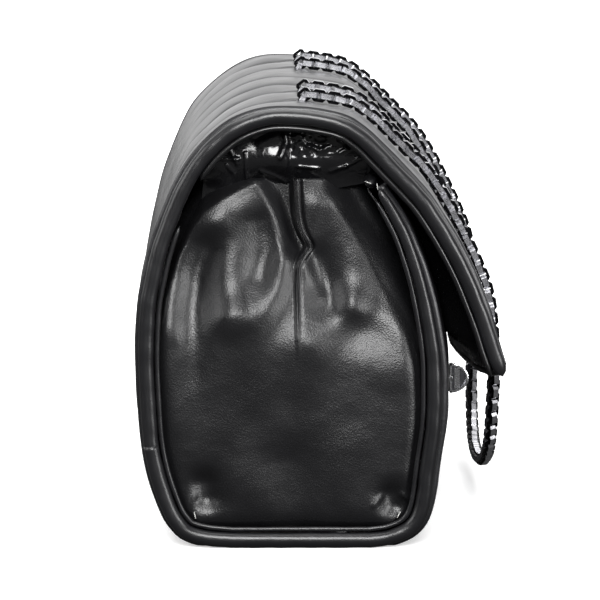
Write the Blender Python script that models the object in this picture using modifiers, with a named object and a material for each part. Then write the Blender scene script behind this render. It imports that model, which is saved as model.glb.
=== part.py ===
"""Quilted shoulder bag with a flap, a box-link chain strap and a turn lock.

Frame: +Z up, width along X, front toward -Y. The origin is the centre of the flat base.
Across shares are fractions of the body depth along Y, up shares are fractions of the height along Z.
"""
import math

import bmesh
import bpy
from mathutils import Matrix, Vector

# Overall sizes in metres
body_width = 0.250
body_depth = 0.120
body_height = 0.172
piece_gap = 0.0003
merge_distance = 0.00001

# Leather shell and its edges
shell_thickness = 0.0049
quilt_puff = 0.0012
front_bulge = 0.0035
fold_ramp_length = 0.008
binding_radius = 0.0025
piping_radius = 0.0011
mouth_binding_radius = 0.0029
channel_count = 7

# Base, linings and end gussets
base_panel_thickness = 0.0024
base_board_thickness = 0.0019
base_board_side_margin = 0.0017
base_board_end_margin = 0.009
lining_thickness = 0.0010
gusset_thickness = 0.0020
gusset_cushion = 0.0030
gusset_pleat_depth = 0.0080
gusset_pleat_width = 0.016
lining_end_inset = 0.0155
pocket_width = 0.150
pocket_thickness = 0.0012
pocket_binding_radius = 0.0012

# Chain strap
chain_size = 0.0048
chain_waist = 0.0034
link_pitch = 0.00305
link_joint_length = 0.0007
chain_rest_clearance = 0.0005
slit_length = 0.0130
slit_width = 0.0056
slit_position = -0.003
cutter_reach = 0.030
bight_bend_radius = 0.0032
drop_gap = 0.0006
drop_edge_clearance = 0.0003
drop_backward_lean = 0.0015

# Turn lock and the slotted plate on the flap
lock_height_share = 0.279
lock_plate_width = 0.024
lock_plate_height = 0.015
lock_plate_thickness = 0.0012
washer_width = 0.020
washer_height = 0.010
washer_corner_radius = 0.003
lock_boss_radius = 0.0040
lock_boss_length = 0.0016
lock_stem_radius = 0.0019
lock_stem_length = 0.0030
lock_turn_clearance = 0.0003
knob_radius = 0.0062
knob_reach = 0.0078
knob_thickness = 0.0030
knob_rim = 0.0011
knob_recess = 0.0006
slot_plate_width = 0.028
slot_plate_height = 0.0145
slot_plate_thickness = 0.0010
slot_opening_width = 0.0145
slot_opening_height = 0.0048
plate_seat_clearance = 0.0005
plate_corner_radius = 0.004
corner_steps = 3
round_segments = 24
knob_steps = 16

# Profile of the shell, as (across, up) shares, from the mouth down the front, along the base and up the back
front_shares = [
    (-0.289, 0.826), (-0.315, 0.796), (-0.347, 0.758), (-0.376, 0.719), (-0.402, 0.672), (-0.422, 0.631),
    (-0.438, 0.590), (-0.454, 0.541), (-0.470, 0.482), (-0.480, 0.428), (-0.484, 0.364), (-0.484, 0.314),
    (-0.478, 0.260), (-0.462, 0.181), (-0.452, 0.122), (-0.440, 0.081), (-0.420, 0.050), (-0.382, 0.025),
    (-0.321, 0.007), (-0.253, 0.000),
]
back_shares = [
    (0.198, 0.000), (0.285, 0.006), (0.353, 0.020), (0.392, 0.045), (0.422, 0.081), (0.460, 0.156),
    (0.483, 0.233), (0.493, 0.319), (0.499, 0.409), (0.499, 0.461), (0.496, 0.514), (0.490, 0.563),
    (0.477, 0.613), (0.460, 0.665), (0.438, 0.717), (0.409, 0.771),
]

# Profiles of the flap from the fold over the top to the front edge: at its ends, under the outer runs of
# chain and at the middle of the width. The stand-off that the layers in front of the body take is added to
# the across shares, row by row
flap_end_shares = [
    (0.409, 0.771), (0.373, 0.828), (0.324, 0.885), (0.256, 0.937), (0.175, 0.975), (0.078, 0.996),
    (-0.023, 0.996), (-0.118, 0.986), (-0.1644, 0.974), (-0.1888, 0.960), (-0.2203, 0.937), (-0.2494, 0.905),
    (-0.2825, 0.869), (-0.3186, 0.831), (-0.3498, 0.793), (-0.3882, 0.741), (-0.4252, 0.697),
    (-0.4522, 0.662), (-0.4822, 0.618), (-0.5112, 0.568), (-0.5402, 0.515), (-0.5632, 0.464),
    (-0.5882, 0.416),
]
flap_run_shares = [
    (0.409, 0.771), (0.373, 0.828), (0.323, 0.885), (0.253, 0.935), (0.172, 0.972), (0.077, 0.993),
    (-0.023, 0.994), (-0.119, 0.986), (-0.1654, 0.978), (-0.1928, 0.964), (-0.2253, 0.940), (-0.2544, 0.909),
    (-0.2895, 0.873), (-0.3266, 0.836), (-0.3548, 0.795), (-0.3902, 0.741), (-0.4222, 0.696),
    (-0.4472, 0.661), (-0.4762, 0.616), (-0.5042, 0.566), (-0.5182, 0.513), (-0.5252, 0.458),
    (-0.5272, 0.403),
]
flap_middle_shares = [
    (0.409, 0.771), (0.373, 0.828), (0.323, 0.885), (0.253, 0.935), (0.172, 0.972), (0.077, 0.993),
    (-0.023, 0.994), (-0.119, 0.986), (-0.1654, 0.978), (-0.1928, 0.964), (-0.2253, 0.940), (-0.2464, 0.908),
    (-0.2785, 0.872), (-0.3056, 0.838), (-0.3237, 0.793), (-0.3522, 0.741), (-0.3782, 0.696),
    (-0.3982, 0.656), (-0.4232, 0.609), (-0.4492, 0.557), (-0.4682, 0.498), (-0.4792, 0.441),
    (-0.4822, 0.384),
]
stand_off_shares = [
    0.0, 0.0, 0.0, 0.0, 0.0, 0.0, 0.0, 0.0, 0.1, 0.2, 0.3, 0.45, 0.6, 0.75, 0.9, 1.0, 1.0, 1.0, 1.0, 1.0, 1.0,
    1.0, 1.0,
]
flare_power = 1.4
edge_fall_power = 1.5
bulge_power = 4.0
puff_start_share = 0.25
puff_end_share = 0.75
edge_steps = 24

# Rows of the flap, counted from the fold, where its slot and the runs of chain lie
slit_row = 6.0
slot_row = 20.0
first_run_row = 7.0
run_row_share = 0.5
drop_row = 22.0
inner_turn_row = 15.0
inner_bottom_row = 17.6
inner_turn_steps = 24
inner_turn_power = 0.7

# Upper edges inside the ends, from front to back
gusset_top_shares = [(-0.170, 0.834), (-0.020, 0.838), (0.150, 0.838), (0.292, 0.821)]
lining_top_shares = [
    (-0.185, 0.860), (-0.155, 0.920), (-0.060, 0.938), (0.060, 0.938), (0.150, 0.920), (0.255, 0.870),
]
gusset_up_shares = [0.004, 0.03, 0.08, 0.16, 0.26, 0.37, 0.48, 0.59, 0.69, 0.78, 0.86, 0.93, 0.985]
gusset_across_shares = [0.0, 0.07, 0.16, 0.27, 0.37, 0.44, 0.48, 0.52, 0.56, 0.63, 0.73, 0.84, 0.93, 1.0]
pleat_middle_share = 0.5
lining_across_shares = [-1.0, -0.7, 0.0, 0.7, 1.0]
cushion_edge_share = 0.4167
cushion_top_share = 0.8696
pocket_start_count = 2
pocket_end_count = 12

# Hanging bottom of the outer loop, as (share of the half spacing, share of the hang height)
hang_shares = [
    (-1.000, 1.000), (-0.995, 0.860), (-0.980, 0.640), (-0.920, 0.470), (-0.780, 0.330), (-0.560, 0.230),
    (-0.280, 0.150), (0.000, 0.090), (0.280, 0.045), (0.560, 0.020), (0.790, 0.035), (0.920, 0.110),
    (0.985, 0.260), (0.998, 0.500), (1.000, 1.000),
]
hang_bottom = 0.0085
hang_steps = 5
bight_bend_steps = 4

half_width = body_width / 2
panel_half_width = half_width - 2 * binding_radius - piece_gap
inner_half_width = panel_half_width - piece_gap
lining_depth = shell_thickness + piece_gap
lining_inner_depth = lining_depth + lining_thickness
binding_depth = binding_radius + piece_gap
piping_depth = 2 * binding_radius + piping_radius + 2 * piece_gap
gusset_depth = piping_depth + piping_radius + piece_gap
gusset_outer_x = half_width - gusset_cushion - piece_gap
channel_width = body_width / channel_count
lock_height = lock_height_share * body_height
flap_layers = shell_thickness + lining_thickness + slot_plate_thickness + plate_seat_clearance
flap_stand_off = flap_layers + quilt_puff + front_bulge + 2 * piece_gap
outer_loop_x = half_width - channel_width
inner_loop_x = half_width - 2 * channel_width

parts = bpy.data.collections.new("quilted_shoulder_bag")
cutters = bpy.data.collections.new("cutters")


def start_scene():
    for thing in list(bpy.data.objects):
        bpy.data.objects.remove(thing, do_unlink=True)
    bpy.context.scene.collection.children.link(parts)
    bpy.context.scene.collection.children.link(cutters)
    cutters.hide_render = True


def make_material(name, colour, roughness, metallic=0.0):
    material = bpy.data.materials.new(name)
    material.use_nodes = True
    shader = material.node_tree.nodes["Principled BSDF"]
    shader.inputs["Base Color"].default_value = (*colour, 1.0)
    shader.inputs["Roughness"].default_value = roughness
    shader.inputs["Metallic"].default_value = metallic
    material.diffuse_color = (*colour, 1.0)
    return material


def add_object(name, mesh, material, smooth=False):
    thing = bpy.data.objects.new(name, mesh)
    parts.objects.link(thing)
    mesh.materials.clear()
    mesh.materials.append(material)
    if smooth:
        mesh.polygons.foreach_set("use_smooth", [True] * len(mesh.polygons))
    return thing


def add_from_bmesh(name, shape, material, smooth=False):
    bmesh.ops.recalc_face_normals(shape, faces=shape.faces)
    mesh = bpy.data.meshes.new(name)
    shape.to_mesh(mesh)
    shape.free()
    return add_object(name, mesh, material, smooth)


def cut(thing, cutter):
    boolean = thing.modifiers.new("cut", "BOOLEAN")
    boolean.operation = "DIFFERENCE"
    boolean.solver = "EXACT"
    boolean.object = cutter


def add_cutter(name, shape):
    bmesh.ops.recalc_face_normals(shape, faces=shape.faces)
    mesh = bpy.data.meshes.new(name)
    shape.to_mesh(mesh)
    shape.free()
    cutter = bpy.data.objects.new(name, mesh)
    cutters.objects.link(cutter)
    cutter.hide_render = True
    cutter.display_type = "WIRE"
    return cutter


def profile(shares):
    return [Vector((0.0, across * body_depth, up * body_height)) for across, up in shares]


def inward_normals(line):
    """Unit vectors pointing into the bag, for a line that runs down the front and up the back."""
    normals = []
    for index in range(len(line)):
        ahead = line[min(index + 1, len(line) - 1)]
        behind = line[max(index - 1, 0)]
        along = (ahead - behind).normalized()
        normals.append(Vector((0.0, -along.z, along.y)))
    return normals


def inset_line(line, depth):
    return [point + normal * depth for point, normal in zip(line, inward_normals(line))]


def shell_profile():
    return profile(front_shares) + profile(back_shares)


def quilt_stations():
    """X positions across the width with the share of the puff at each."""
    stations = [(-panel_half_width, 0.0)]
    for channel in range(channel_count):
        start = -half_width + channel * channel_width
        if channel > 0:
            stations.append((start, 0.0))
        stations.append((start + puff_start_share * channel_width, 1.0))
        stations.append((start + puff_end_share * channel_width, 1.0))
    stations.append((panel_half_width, 0.0))
    return stations


def ramp_from(fold_point, point):
    """Share of the full puff near the fold, so that both sides can close on each other."""
    return min(1.0, (point - fold_point).length / fold_ramp_length)


def grid_surface(name, rows, material, thickness, smooth=True):
    """Open grid from rows of points, thickened inward."""
    shape = bmesh.new()
    corners = [[shape.verts.new(point) for point in row] for row in rows]
    for upper, lower in zip(corners[:-1], corners[1:]):
        for index in range(len(upper) - 1):
            shape.faces.new((upper[index], lower[index], lower[index + 1], upper[index + 1]))
    mesh = bpy.data.meshes.new(name)
    shape.to_mesh(mesh)
    shape.free()
    thing = add_object(name, mesh, material, smooth)
    solidify = thing.modifiers.new("thickness", "SOLIDIFY")
    solidify.thickness = thickness
    solidify.offset = -1.0
    solidify.use_even_offset = False
    return thing


def bulge_rise(along_share, x):
    """Share of the front's outward bulge at a place between the mouth and the base."""
    return math.sin(math.pi * along_share) * (1.0 - abs(x / half_width) ** bulge_power)


def panel_rows(line, stations, puff, bulge=0.0, fold_point=None):
    rows = []
    normals = inward_normals(line)
    for index, (point, normal) in enumerate(zip(line, normals)):
        ramp = ramp_from(fold_point, point) if fold_point else 1.0
        row = []
        for x, puff_share in stations:
            lift = puff * puff_share * ramp + bulge * bulge_rise(index / (len(line) - 1), x)
            row.append(point - normal * lift + Vector((x, 0.0, 0.0)))
        rows.append(row)
    return rows


def tube(name, points, radius, material, sides_level=2):
    """Round solid that follows the points, with filled ends."""
    curve = bpy.data.curves.new(name, "CURVE")
    curve.dimensions = "3D"
    curve.bevel_depth = radius
    curve.bevel_resolution = sides_level
    curve.use_fill_caps = True
    spline = curve.splines.new("POLY")
    spline.points.add(len(points) - 1)
    for target, point in zip(spline.points, points):
        target.co = (*point, 1.0)
    holder = bpy.data.objects.new(name + "_curve", curve)
    parts.objects.link(holder)
    bpy.context.view_layer.update()
    evaluated = holder.evaluated_get(bpy.context.evaluated_depsgraph_get())
    mesh = bpy.data.meshes.new_from_object(evaluated)
    bpy.data.objects.remove(holder, do_unlink=True)
    shape = bmesh.new()
    shape.from_mesh(mesh)
    bpy.data.meshes.remove(mesh)
    bmesh.ops.remove_doubles(shape, verts=shape.verts, dist=merge_distance)
    return add_from_bmesh(name, shape, material, smooth=True)


def box(shape, size, centre, turn=None):
    matrix = Matrix.Translation(centre)
    if turn:
        matrix = matrix @ turn
    matrix = matrix @ Matrix.Diagonal((*size, 1.0))
    return bmesh.ops.create_cube(shape, size=1.0, matrix=matrix)


def mirrored_sides():
    return (("left", -1.0), ("right", 1.0))


# Flap surface, used by the flap and by the chain that lies on it

def flap_row(row_position, x):
    """Point and outward normal on the flap's outer side, without the puff, at a fractional row."""
    beyond = abs(x) - outer_loop_x
    if beyond <= 0.0:
        inner, outer = flap_middle_shares, flap_run_shares
        flare = abs(x / outer_loop_x) ** flare_power
    else:
        inner, outer = flap_run_shares, flap_end_shares
        flare = min(1.0, beyond / (half_width - binding_radius - outer_loop_x)) ** edge_fall_power
    low = min(int(row_position), len(flap_end_shares) - 2)
    part = row_position - low

    def blended(index):
        inner_across, inner_up = inner[index]
        outer_across, outer_up = outer[index]
        across = inner_across + (outer_across - inner_across) * flare
        up = inner_up + (outer_up - inner_up) * flare
        y = across * body_depth - stand_off_shares[index] * flap_stand_off
        return Vector((x, y, up * body_height))

    def along(index):
        last = len(flap_end_shares) - 1
        return (blended(min(index + 1, last)) - blended(max(index - 1, 0))).normalized()

    point = blended(low).lerp(blended(low + 1), part)
    direction = along(low).lerp(along(low + 1), part).normalized()
    return point, Vector((0.0, direction.z, -direction.y))


def flap_line(x, depth, start_row=0):
    line = []
    for index in range(start_row, len(flap_end_shares)):
        point, outward = flap_row(index, x)
        line.append(point - outward * depth)
    return line


def extended(line, length):
    """The line with a last point added beyond its end."""
    along = (line[-1] - line[-2]).normalized()
    return line + [line[-1] + along * length]


def trimmed_start(line, length):
    along = (line[1] - line[0]).normalized()
    return [line[0] + along * length] + line[1:]


def trimmed_end(line, length):
    along = (line[-2] - line[-1]).normalized()
    return line[:-1] + [line[-1] + along * length]


# Quilted shell of the body

def make_front_panel(leather):
    """Quilted front, pressed flat where it turns under the base."""
    line = profile(front_shares)
    rows = panel_rows(line, quilt_stations(), quilt_puff, front_bulge)
    for row in rows:
        for point in row:
            point.z = max(point.z, 0.0)
    rows[-1] = [Vector((point.x, line[-1].y - piece_gap / 2, 0.0)) for point in rows[-1]]
    return grid_surface("front_panel", rows, leather, shell_thickness)


def make_back_panel(leather):
    line = trimmed_end(profile(back_shares), piece_gap / 2)
    rows = panel_rows(line, quilt_stations(), quilt_puff, 0.0, line[-1])
    for row in rows:
        for point in row:
            point.z = max(point.z, 0.0)
    rows[0] = [Vector((point.x, line[0].y + piece_gap / 2, 0.0)) for point in rows[0]]
    return grid_surface("back_panel", rows, leather, shell_thickness)


def base_span():
    front_y = profile(front_shares)[-1].y + piece_gap / 2
    back_y = profile(back_shares)[0].y - piece_gap / 2
    return front_y, back_y


def make_base_panel(leather):
    front_y, back_y = base_span()
    shape = bmesh.new()
    size = (2 * panel_half_width, back_y - front_y, base_panel_thickness)
    box(shape, size, Vector((0.0, (front_y + back_y) / 2, base_panel_thickness / 2)))
    return add_from_bmesh("base_panel", shape, leather)


def make_base_board(board):
    front_y, back_y = base_span()
    bottom = base_panel_thickness + piece_gap
    top = bottom + base_board_thickness
    shape = bmesh.new()
    depth = back_y - front_y - 2 * base_board_side_margin
    size = (2 * (inner_half_width - base_board_end_margin), depth, top - bottom)
    box(shape, size, Vector((0.0, (front_y + back_y) / 2, (bottom + top) / 2)))
    return add_from_bmesh("base_board", shape, board)


def body_edge_line(depth):
    return inset_line(shell_profile(), depth)


def make_edge_bindings(leather):
    for side, sign in mirrored_sides():
        x = sign * (half_width - binding_radius)
        line = trimmed_end(body_edge_line(binding_depth), piece_gap)
        tube("edge_binding_" + side, [point + Vector((x, 0.0, 0.0)) for point in line],
             binding_radius, leather)


def make_mouth_binding(leather):
    line = profile(front_shares)
    along = (line[0] - line[1]).normalized()
    inward = inward_normals(line)[0]
    centre = line[0] + along * (mouth_binding_radius + piece_gap) + inward * lining_inner_depth / 2
    ends = [centre + Vector((sign * inner_half_width, 0.0, 0.0)) for sign in (-1.0, 1.0)]
    tube("mouth_binding", ends, mouth_binding_radius, leather, 3)


# Gussets at both ends

def gusset_outline(depth, top_shares):
    return body_edge_line(depth) + list(reversed(profile(top_shares)))


def width_at(outline, height):
    """Front and back limits of a closed outline at a height."""
    found = []
    for index, start in enumerate(outline):
        end = outline[(index + 1) % len(outline)]
        if (start.z - height) * (end.z - height) <= 0.0 and start.z != end.z:
            share = (height - start.z) / (end.z - start.z)
            found.append(start.y + (end.y - start.y) * share)
    return min(found), max(found)


def cushion_rise(across_share, up_share):
    """Share of the gusset's outward puff, nought at its edges and at its top."""
    edge_share = min(across_share, 1.0 - across_share)
    across_rise = math.sin(math.pi / 2 * min(edge_share / cushion_edge_share, 1.0))
    up_rise = math.sin(math.pi * min(up_share / cushion_top_share, 1.0))
    return across_rise * up_rise


def make_gussets(leather):
    outline = gusset_outline(gusset_depth, gusset_top_shares)
    lowest = min(point.z for point in outline)
    highest = max(point.z for point in outline)
    for side, sign in mirrored_sides():
        rows = []
        for up_share in gusset_up_shares:
            height = lowest + (highest - lowest) * up_share
            front_y, back_y = width_at(outline, height)
            row = []
            for across_share in gusset_across_shares:
                y = front_y + (back_y - front_y) * across_share
                lift = gusset_cushion * cushion_rise(across_share, up_share)
                pleat_reach = abs(across_share - pleat_middle_share) * (back_y - front_y) / gusset_pleat_width
                pleat = gusset_pleat_depth * max(0.0, 1.0 - pleat_reach) * up_share
                row.append(Vector((sign * (gusset_outer_x + lift - pleat), y, height)))
            rows.append(row if sign < 0.0 else list(reversed(row)))
        grid_surface("gusset_" + side, rows, leather, gusset_thickness)


def make_gusset_pipings(leather):
    for side, sign in mirrored_sides():
        x = sign * (half_width - binding_radius - piping_radius)
        line = trimmed_end(body_edge_line(piping_depth), piece_gap)
        tube("gusset_piping_" + side, [point + Vector((x, 0.0, 0.0)) for point in line],
             piping_radius, leather, 1)


# Lining of the compartment

def make_shell_linings(lining):
    front = inset_line(shell_profile(), lining_depth)[: len(front_shares)]
    back = inset_line(shell_profile(), lining_depth)[len(front_shares):]
    sheets = {"lining_front": front, "lining_back": back}
    for name, line in sheets.items():
        if name == "lining_front":
            line = line[:-1] + [Vector((0.0, line[-1].y - piece_gap / 2, line[-1].z))]
        else:
            line = [Vector((0.0, line[0].y + piece_gap / 2, line[0].z))] + trimmed_end(line, piece_gap)[1:]
        stations = [(share * inner_half_width, 0.0) for share in lining_across_shares]
        bulge = front_bulge if name == "lining_front" else 0.0
        grid_surface(name, panel_rows(line, stations, 0.0, bulge), lining, lining_thickness)
    front_y = front[-1].y + piece_gap / 2
    back_y = back[0].y - piece_gap / 2
    shape = bmesh.new()
    size = (2 * inner_half_width, back_y - front_y, lining_thickness)
    box(shape, size, Vector((0.0, (front_y + back_y) / 2, lining_depth + lining_thickness / 2)))
    add_from_bmesh("lining_base", shape, lining)


def make_end_linings(lining):
    outline = body_edge_line(lining_inner_depth + piece_gap)
    outline = outline + list(reversed(profile(lining_top_shares)))
    for side, sign in mirrored_sides():
        shape = bmesh.new()
        outer_x = sign * (half_width - lining_end_inset)
        face = shape.faces.new([shape.verts.new(point + Vector((outer_x, 0.0, 0.0))) for point in outline])
        grown = bmesh.ops.extrude_face_region(shape, geom=[face])
        moved = [item for item in grown["geom"] if isinstance(item, bmesh.types.BMVert)]
        bmesh.ops.translate(shape, verts=moved, vec=(-sign * lining_thickness, 0.0, 0.0))
        add_from_bmesh("lining_" + side, shape, lining)


def make_slip_pocket(lining):
    line = inset_line(shell_profile(), lining_inner_depth + piece_gap)[len(front_shares):]
    line = line[pocket_start_count:pocket_end_count]
    half = pocket_width / 2
    rows = [[point + Vector((x, 0.0, 0.0)) for x in (-half, 0.0, half)] for point in line]
    grid_surface("slip_pocket", rows, lining, pocket_thickness)
    along = (line[-1] - line[-2]).normalized()
    inward = inward_normals(line)[-1]
    centre = line[-1] + along * (pocket_binding_radius + piece_gap) + inward * pocket_binding_radius
    tube("slip_pocket_binding", [centre + Vector((x, 0.0, 0.0)) for x in (-half, half)],
         pocket_binding_radius, lining, 1)


# Flap

def flap_rows(stations, puff, depth):
    fold_point = profile(flap_end_shares)[0]
    rows = []
    for index in range(len(flap_end_shares)):
        row = []
        for x, puff_share in stations:
            point, outward = flap_row(index, x)
            ramp = ramp_from(fold_point, Vector((0.0, point.y, point.z)))
            row.append(point + outward * (puff * puff_share * ramp - depth))
        rows.append(row)
    first_step = (rows[1][0] - rows[0][0]).normalized() * piece_gap / 2
    rows[0] = [point + first_step for point in rows[0]]
    return rows


def slit_surface_z():
    """Height of the flap's outer side where the slits are."""
    point, _ = flap_row(slit_row, outer_loop_x)
    return point.z


def slit_cutter(name):
    shape = bmesh.new()
    for x in (-outer_loop_x, -inner_loop_x, inner_loop_x, outer_loop_x):
        size = (slit_width, slit_length, cutter_reach)
        box(shape, size, Vector((x, slit_position, slit_surface_z())))
    return add_cutter(name, shape)


def slot_frame():
    """Place and turn of the slotted plate at the middle of the flap's lower edge."""
    point, outward = flap_row(slot_row, 0.0)
    across = Vector((1.0, 0.0, 0.0))
    up = outward.cross(across)
    turn = Matrix((across, -outward, up)).transposed().to_4x4()
    return point, outward, turn


def make_flap_panel(leather, slits, slot):
    panel = grid_surface("flap_panel", flap_rows(quilt_stations(), quilt_puff, 0.0), leather, shell_thickness)
    cut(panel, slits)
    cut(panel, slot)


def make_flap_lining(lining, slits, slot):
    stations = [station for station in quilt_stations() if station[1] == 0.0]
    panel = grid_surface("flap_lining", flap_rows(stations, 0.0, lining_depth), lining, lining_thickness)
    cut(panel, slits)
    cut(panel, slot)


def make_flap_edges(leather):
    x_edge = half_width - binding_radius
    for side, sign in mirrored_sides():
        line = trimmed_start(flap_line(sign * x_edge, binding_depth), piece_gap)
        line = extended(line, 2 * binding_radius)
        tube("flap_binding_" + side, line, binding_radius, leather)
        inner = flap_line(sign * (x_edge - piping_radius), piping_depth, 2)
        tube("flap_piping_" + side, extended(inner, binding_radius), piping_radius, leather, 1)
    tip = len(flap_end_shares) - 1
    points = []
    for step in range(edge_steps + 1):
        x = -inner_half_width + 2 * inner_half_width * step / edge_steps
        last, outward = flap_row(tip, x)
        before, _ = flap_row(tip - 1, x)
        along = (last - before).normalized()
        points.append(last - outward * binding_radius + along * (binding_radius + 2 * piece_gap))
    tube("flap_front_binding", points, binding_radius, leather)


# Chain strap of box links

def path_lengths(points):
    lengths = [0.0]
    for start, end in zip(points[:-1], points[1:]):
        lengths.append(lengths[-1] + (end - start).length)
    return lengths


def path_sample(points, normals, lengths, distance):
    distance = min(max(distance, 0.0), lengths[-1])
    index = 0
    while index < len(lengths) - 2 and lengths[index + 1] < distance:
        index += 1
    span = lengths[index + 1] - lengths[index]
    share = (distance - lengths[index]) / span
    return (points[index].lerp(points[index + 1], share),
            normals[index].lerp(normals[index + 1], share).normalized())


def make_chain(name, points, normals, metal, first_turn=0):
    """Box links in a row, each turned a quarter from the one before, joined at their waists."""
    lengths = path_lengths(points)
    count = round(lengths[-1] / link_pitch)
    pitch = lengths[-1] / count
    shape = bmesh.new()
    previous = None
    for link in range(count):
        wide = (link + first_turn) % 2 == 0
        half_across = (chain_size if wide else chain_waist) / 2
        half_normal = (chain_waist if wide else chain_size) / 2
        start = link * pitch + (0.0 if link == 0 else link_joint_length / 2)
        end = (link + 1) * pitch - (0.0 if link == count - 1 else link_joint_length / 2)
        for distance in (start, end):
            here, normal = path_sample(points, normals, lengths, distance)
            ahead, _ = path_sample(points, normals, lengths, distance + pitch / 2)
            behind, _ = path_sample(points, normals, lengths, distance - pitch / 2)
            along = (ahead - behind).normalized()
            across = along.cross(normal).normalized()
            upright = across.cross(along).normalized()
            ring = [shape.verts.new(here + across * half_across * a + upright * half_normal * b)
                    for a, b in ((-1, -1), (1, -1), (1, 1), (-1, 1))]
            if previous is None:
                shape.faces.new(ring)
            else:
                for index in range(4):
                    after = (index + 1) % 4
                    shape.faces.new((previous[index], previous[after], ring[after], ring[index]))
            previous = ring
    shape.faces.new(previous)
    return add_from_bmesh(name, shape, metal)


def chain_lift():
    return chain_size / 2 + piece_gap + chain_rest_clearance


def slit_pivot(x):
    """Where a run of chain turns, just above the top of the bight in its slit."""
    end_height = slit_surface_z() + piece_gap + chain_size / 2 * math.sqrt(2)
    return Vector((x, slit_position - chain_size / 2, end_height))


def run_path(x, last_row):
    """Chain lying on the flap in the valley at x, from its slit to a row of the flap."""
    points = [slit_pivot(x)]
    normals = [Vector((0.0, 0.0, 1.0))]
    for step in range(round((last_row - first_run_row) / run_row_share) + 1):
        point, outward = flap_row(first_run_row + step * run_row_share, x)
        points.append(point + outward * chain_lift())
        normals.append(outward)
    return points, normals


def hang_points():
    top, outward = flap_row(drop_row, outer_loop_x)
    top = top + outward * chain_lift()
    start_height = top.z - drop_gap
    points = []
    for across, up in hang_shares:
        height = hang_bottom + (start_height - hang_bottom) * up
        backward = drop_backward_lean * (1.0 - up)
        points.append(Vector((across * outer_loop_x, top.y - drop_edge_clearance + backward, height)))
    return smoothed(points, hang_steps)


def smoothed(points, steps):
    """Rounded line through the points."""
    fine = []
    for index in range(len(points) - 1):
        before = points[max(index - 1, 0)]
        start = points[index]
        end = points[index + 1]
        after = points[min(index + 2, len(points) - 1)]
        for step in range(steps):
            t = step / steps
            fine.append(0.5 * (2 * start + (end - before) * t
                               + (2 * before - 5 * start + 4 * end - after) * t ** 2
                               + (3 * start - before - 3 * end + after) * t ** 3))
    fine.append(points[-1])
    return fine


def make_outer_loop(metal):
    for side, sign in mirrored_sides():
        points, normals = run_path(sign * outer_loop_x, drop_row)
        make_chain("chain_outer_run_" + side, points, normals, metal)
    points = hang_points()
    make_chain("chain_outer_drop", points, [Vector((0.0, -1.0, 0.0))] * len(points), metal)


def inner_loop_path():
    left, left_normals = run_path(-inner_loop_x, inner_turn_row)
    bottom = []
    bottom_normals = []
    for step in range(1, inner_turn_steps):
        angle = math.pi * step / inner_turn_steps
        x = -inner_loop_x * math.cos(angle)
        row = inner_turn_row + (inner_bottom_row - inner_turn_row) * math.sin(angle) ** inner_turn_power
        point, outward = flap_row(row, x)
        rise = quilt_puff * min(1.0, math.sin(angle) * 2)
        bottom.append(point + outward * (chain_lift() + rise))
        bottom_normals.append(outward)
    right, right_normals = run_path(inner_loop_x, inner_turn_row)
    points = left + bottom + list(reversed(right))
    normals = left_normals + bottom_normals + list(reversed(right_normals))
    return points, normals


def make_inner_loop(metal):
    points, normals = inner_loop_path()
    make_chain("chain_inner_loop", points, normals, metal)


def make_bights(metal):
    top = slit_surface_z() - piece_gap
    under = slit_surface_z() - lining_inner_depth - piece_gap - chain_size / 2 - chain_rest_clearance
    for side, sign in mirrored_sides():
        outer = sign * outer_loop_x
        inner = sign * inner_loop_x
        bends = ((outer - sign * bight_bend_radius, 0.0), (inner + sign * bight_bend_radius, math.pi / 2))
        points = [Vector((outer, slit_position, top))]
        for bend_x, first_angle in bends:
            for step in range(bight_bend_steps + 1):
                angle = first_angle + math.pi / 2 * step / bight_bend_steps
                x = bend_x + sign * math.cos(angle) * bight_bend_radius
                z = under + bight_bend_radius - math.sin(angle) * bight_bend_radius
                points.append(Vector((x, slit_position, z)))
        points.append(Vector((inner, slit_position, top)))
        make_chain("chain_bight_" + side, points, [Vector((0.0, 1.0, 0.0))] * len(points), metal)


# Turn lock on the front panel

def rounded_plate(shape, width, height, thickness, corner, centre, turn):
    """Upright plate facing -Y with rounded corners."""
    corners = []
    quarters = ((1, 1, 0.0), (-1, 1, math.pi / 2), (-1, -1, math.pi), (1, -1, math.pi * 3 / 2))
    for sign_x, sign_z, start in quarters:
        for step in range(corner_steps + 1):
            angle = start + math.pi / 2 * step / corner_steps
            x = sign_x * (width / 2 - corner) + corner * math.cos(angle)
            z = sign_z * (height / 2 - corner) + corner * math.sin(angle)
            corners.append(Vector((x, thickness / 2, z)))
    face = shape.faces.new([shape.verts.new(point) for point in corners])
    grown = bmesh.ops.extrude_face_region(shape, geom=[face])
    moved = [item for item in grown["geom"] if isinstance(item, bmesh.types.BMVert)]
    bmesh.ops.translate(shape, verts=moved, vec=(0.0, -thickness, 0.0))
    bmesh.ops.transform(shape, matrix=Matrix.Translation(centre) @ turn, verts=shape.verts)


def upright_cylinder(shape, radius, start_y, end_y, height):
    turn = Matrix.Rotation(math.pi / 2, 4, "X")
    centre = Vector((0.0, (start_y + end_y) / 2, height))
    bmesh.ops.create_cone(shape, cap_ends=True, segments=round_segments, radius1=radius, radius2=radius,
                          depth=abs(end_y - start_y), matrix=Matrix.Translation(centre) @ turn)


def lock_face_y():
    """Y of the front panel's crest behind the lock."""
    line = profile(front_shares)
    foremost = min(point.y for point in line)
    return foremost - quilt_puff - front_bulge - piece_gap


def front_lining_y(height):
    """Y of the front lining's inner side at a height."""
    line = inset_line(shell_profile(), lining_inner_depth)[: len(front_shares)]
    line = [row[0] for row in panel_rows(line, [(0.0, 0.0)], 0.0, front_bulge)]
    for upper, lower in zip(line[:-1], line[1:]):
        if lower.z <= height <= upper.z:
            share = (height - lower.z) / (upper.z - lower.z)
            return lower.y + (upper.y - lower.y) * share
    return line[-1].y


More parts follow.
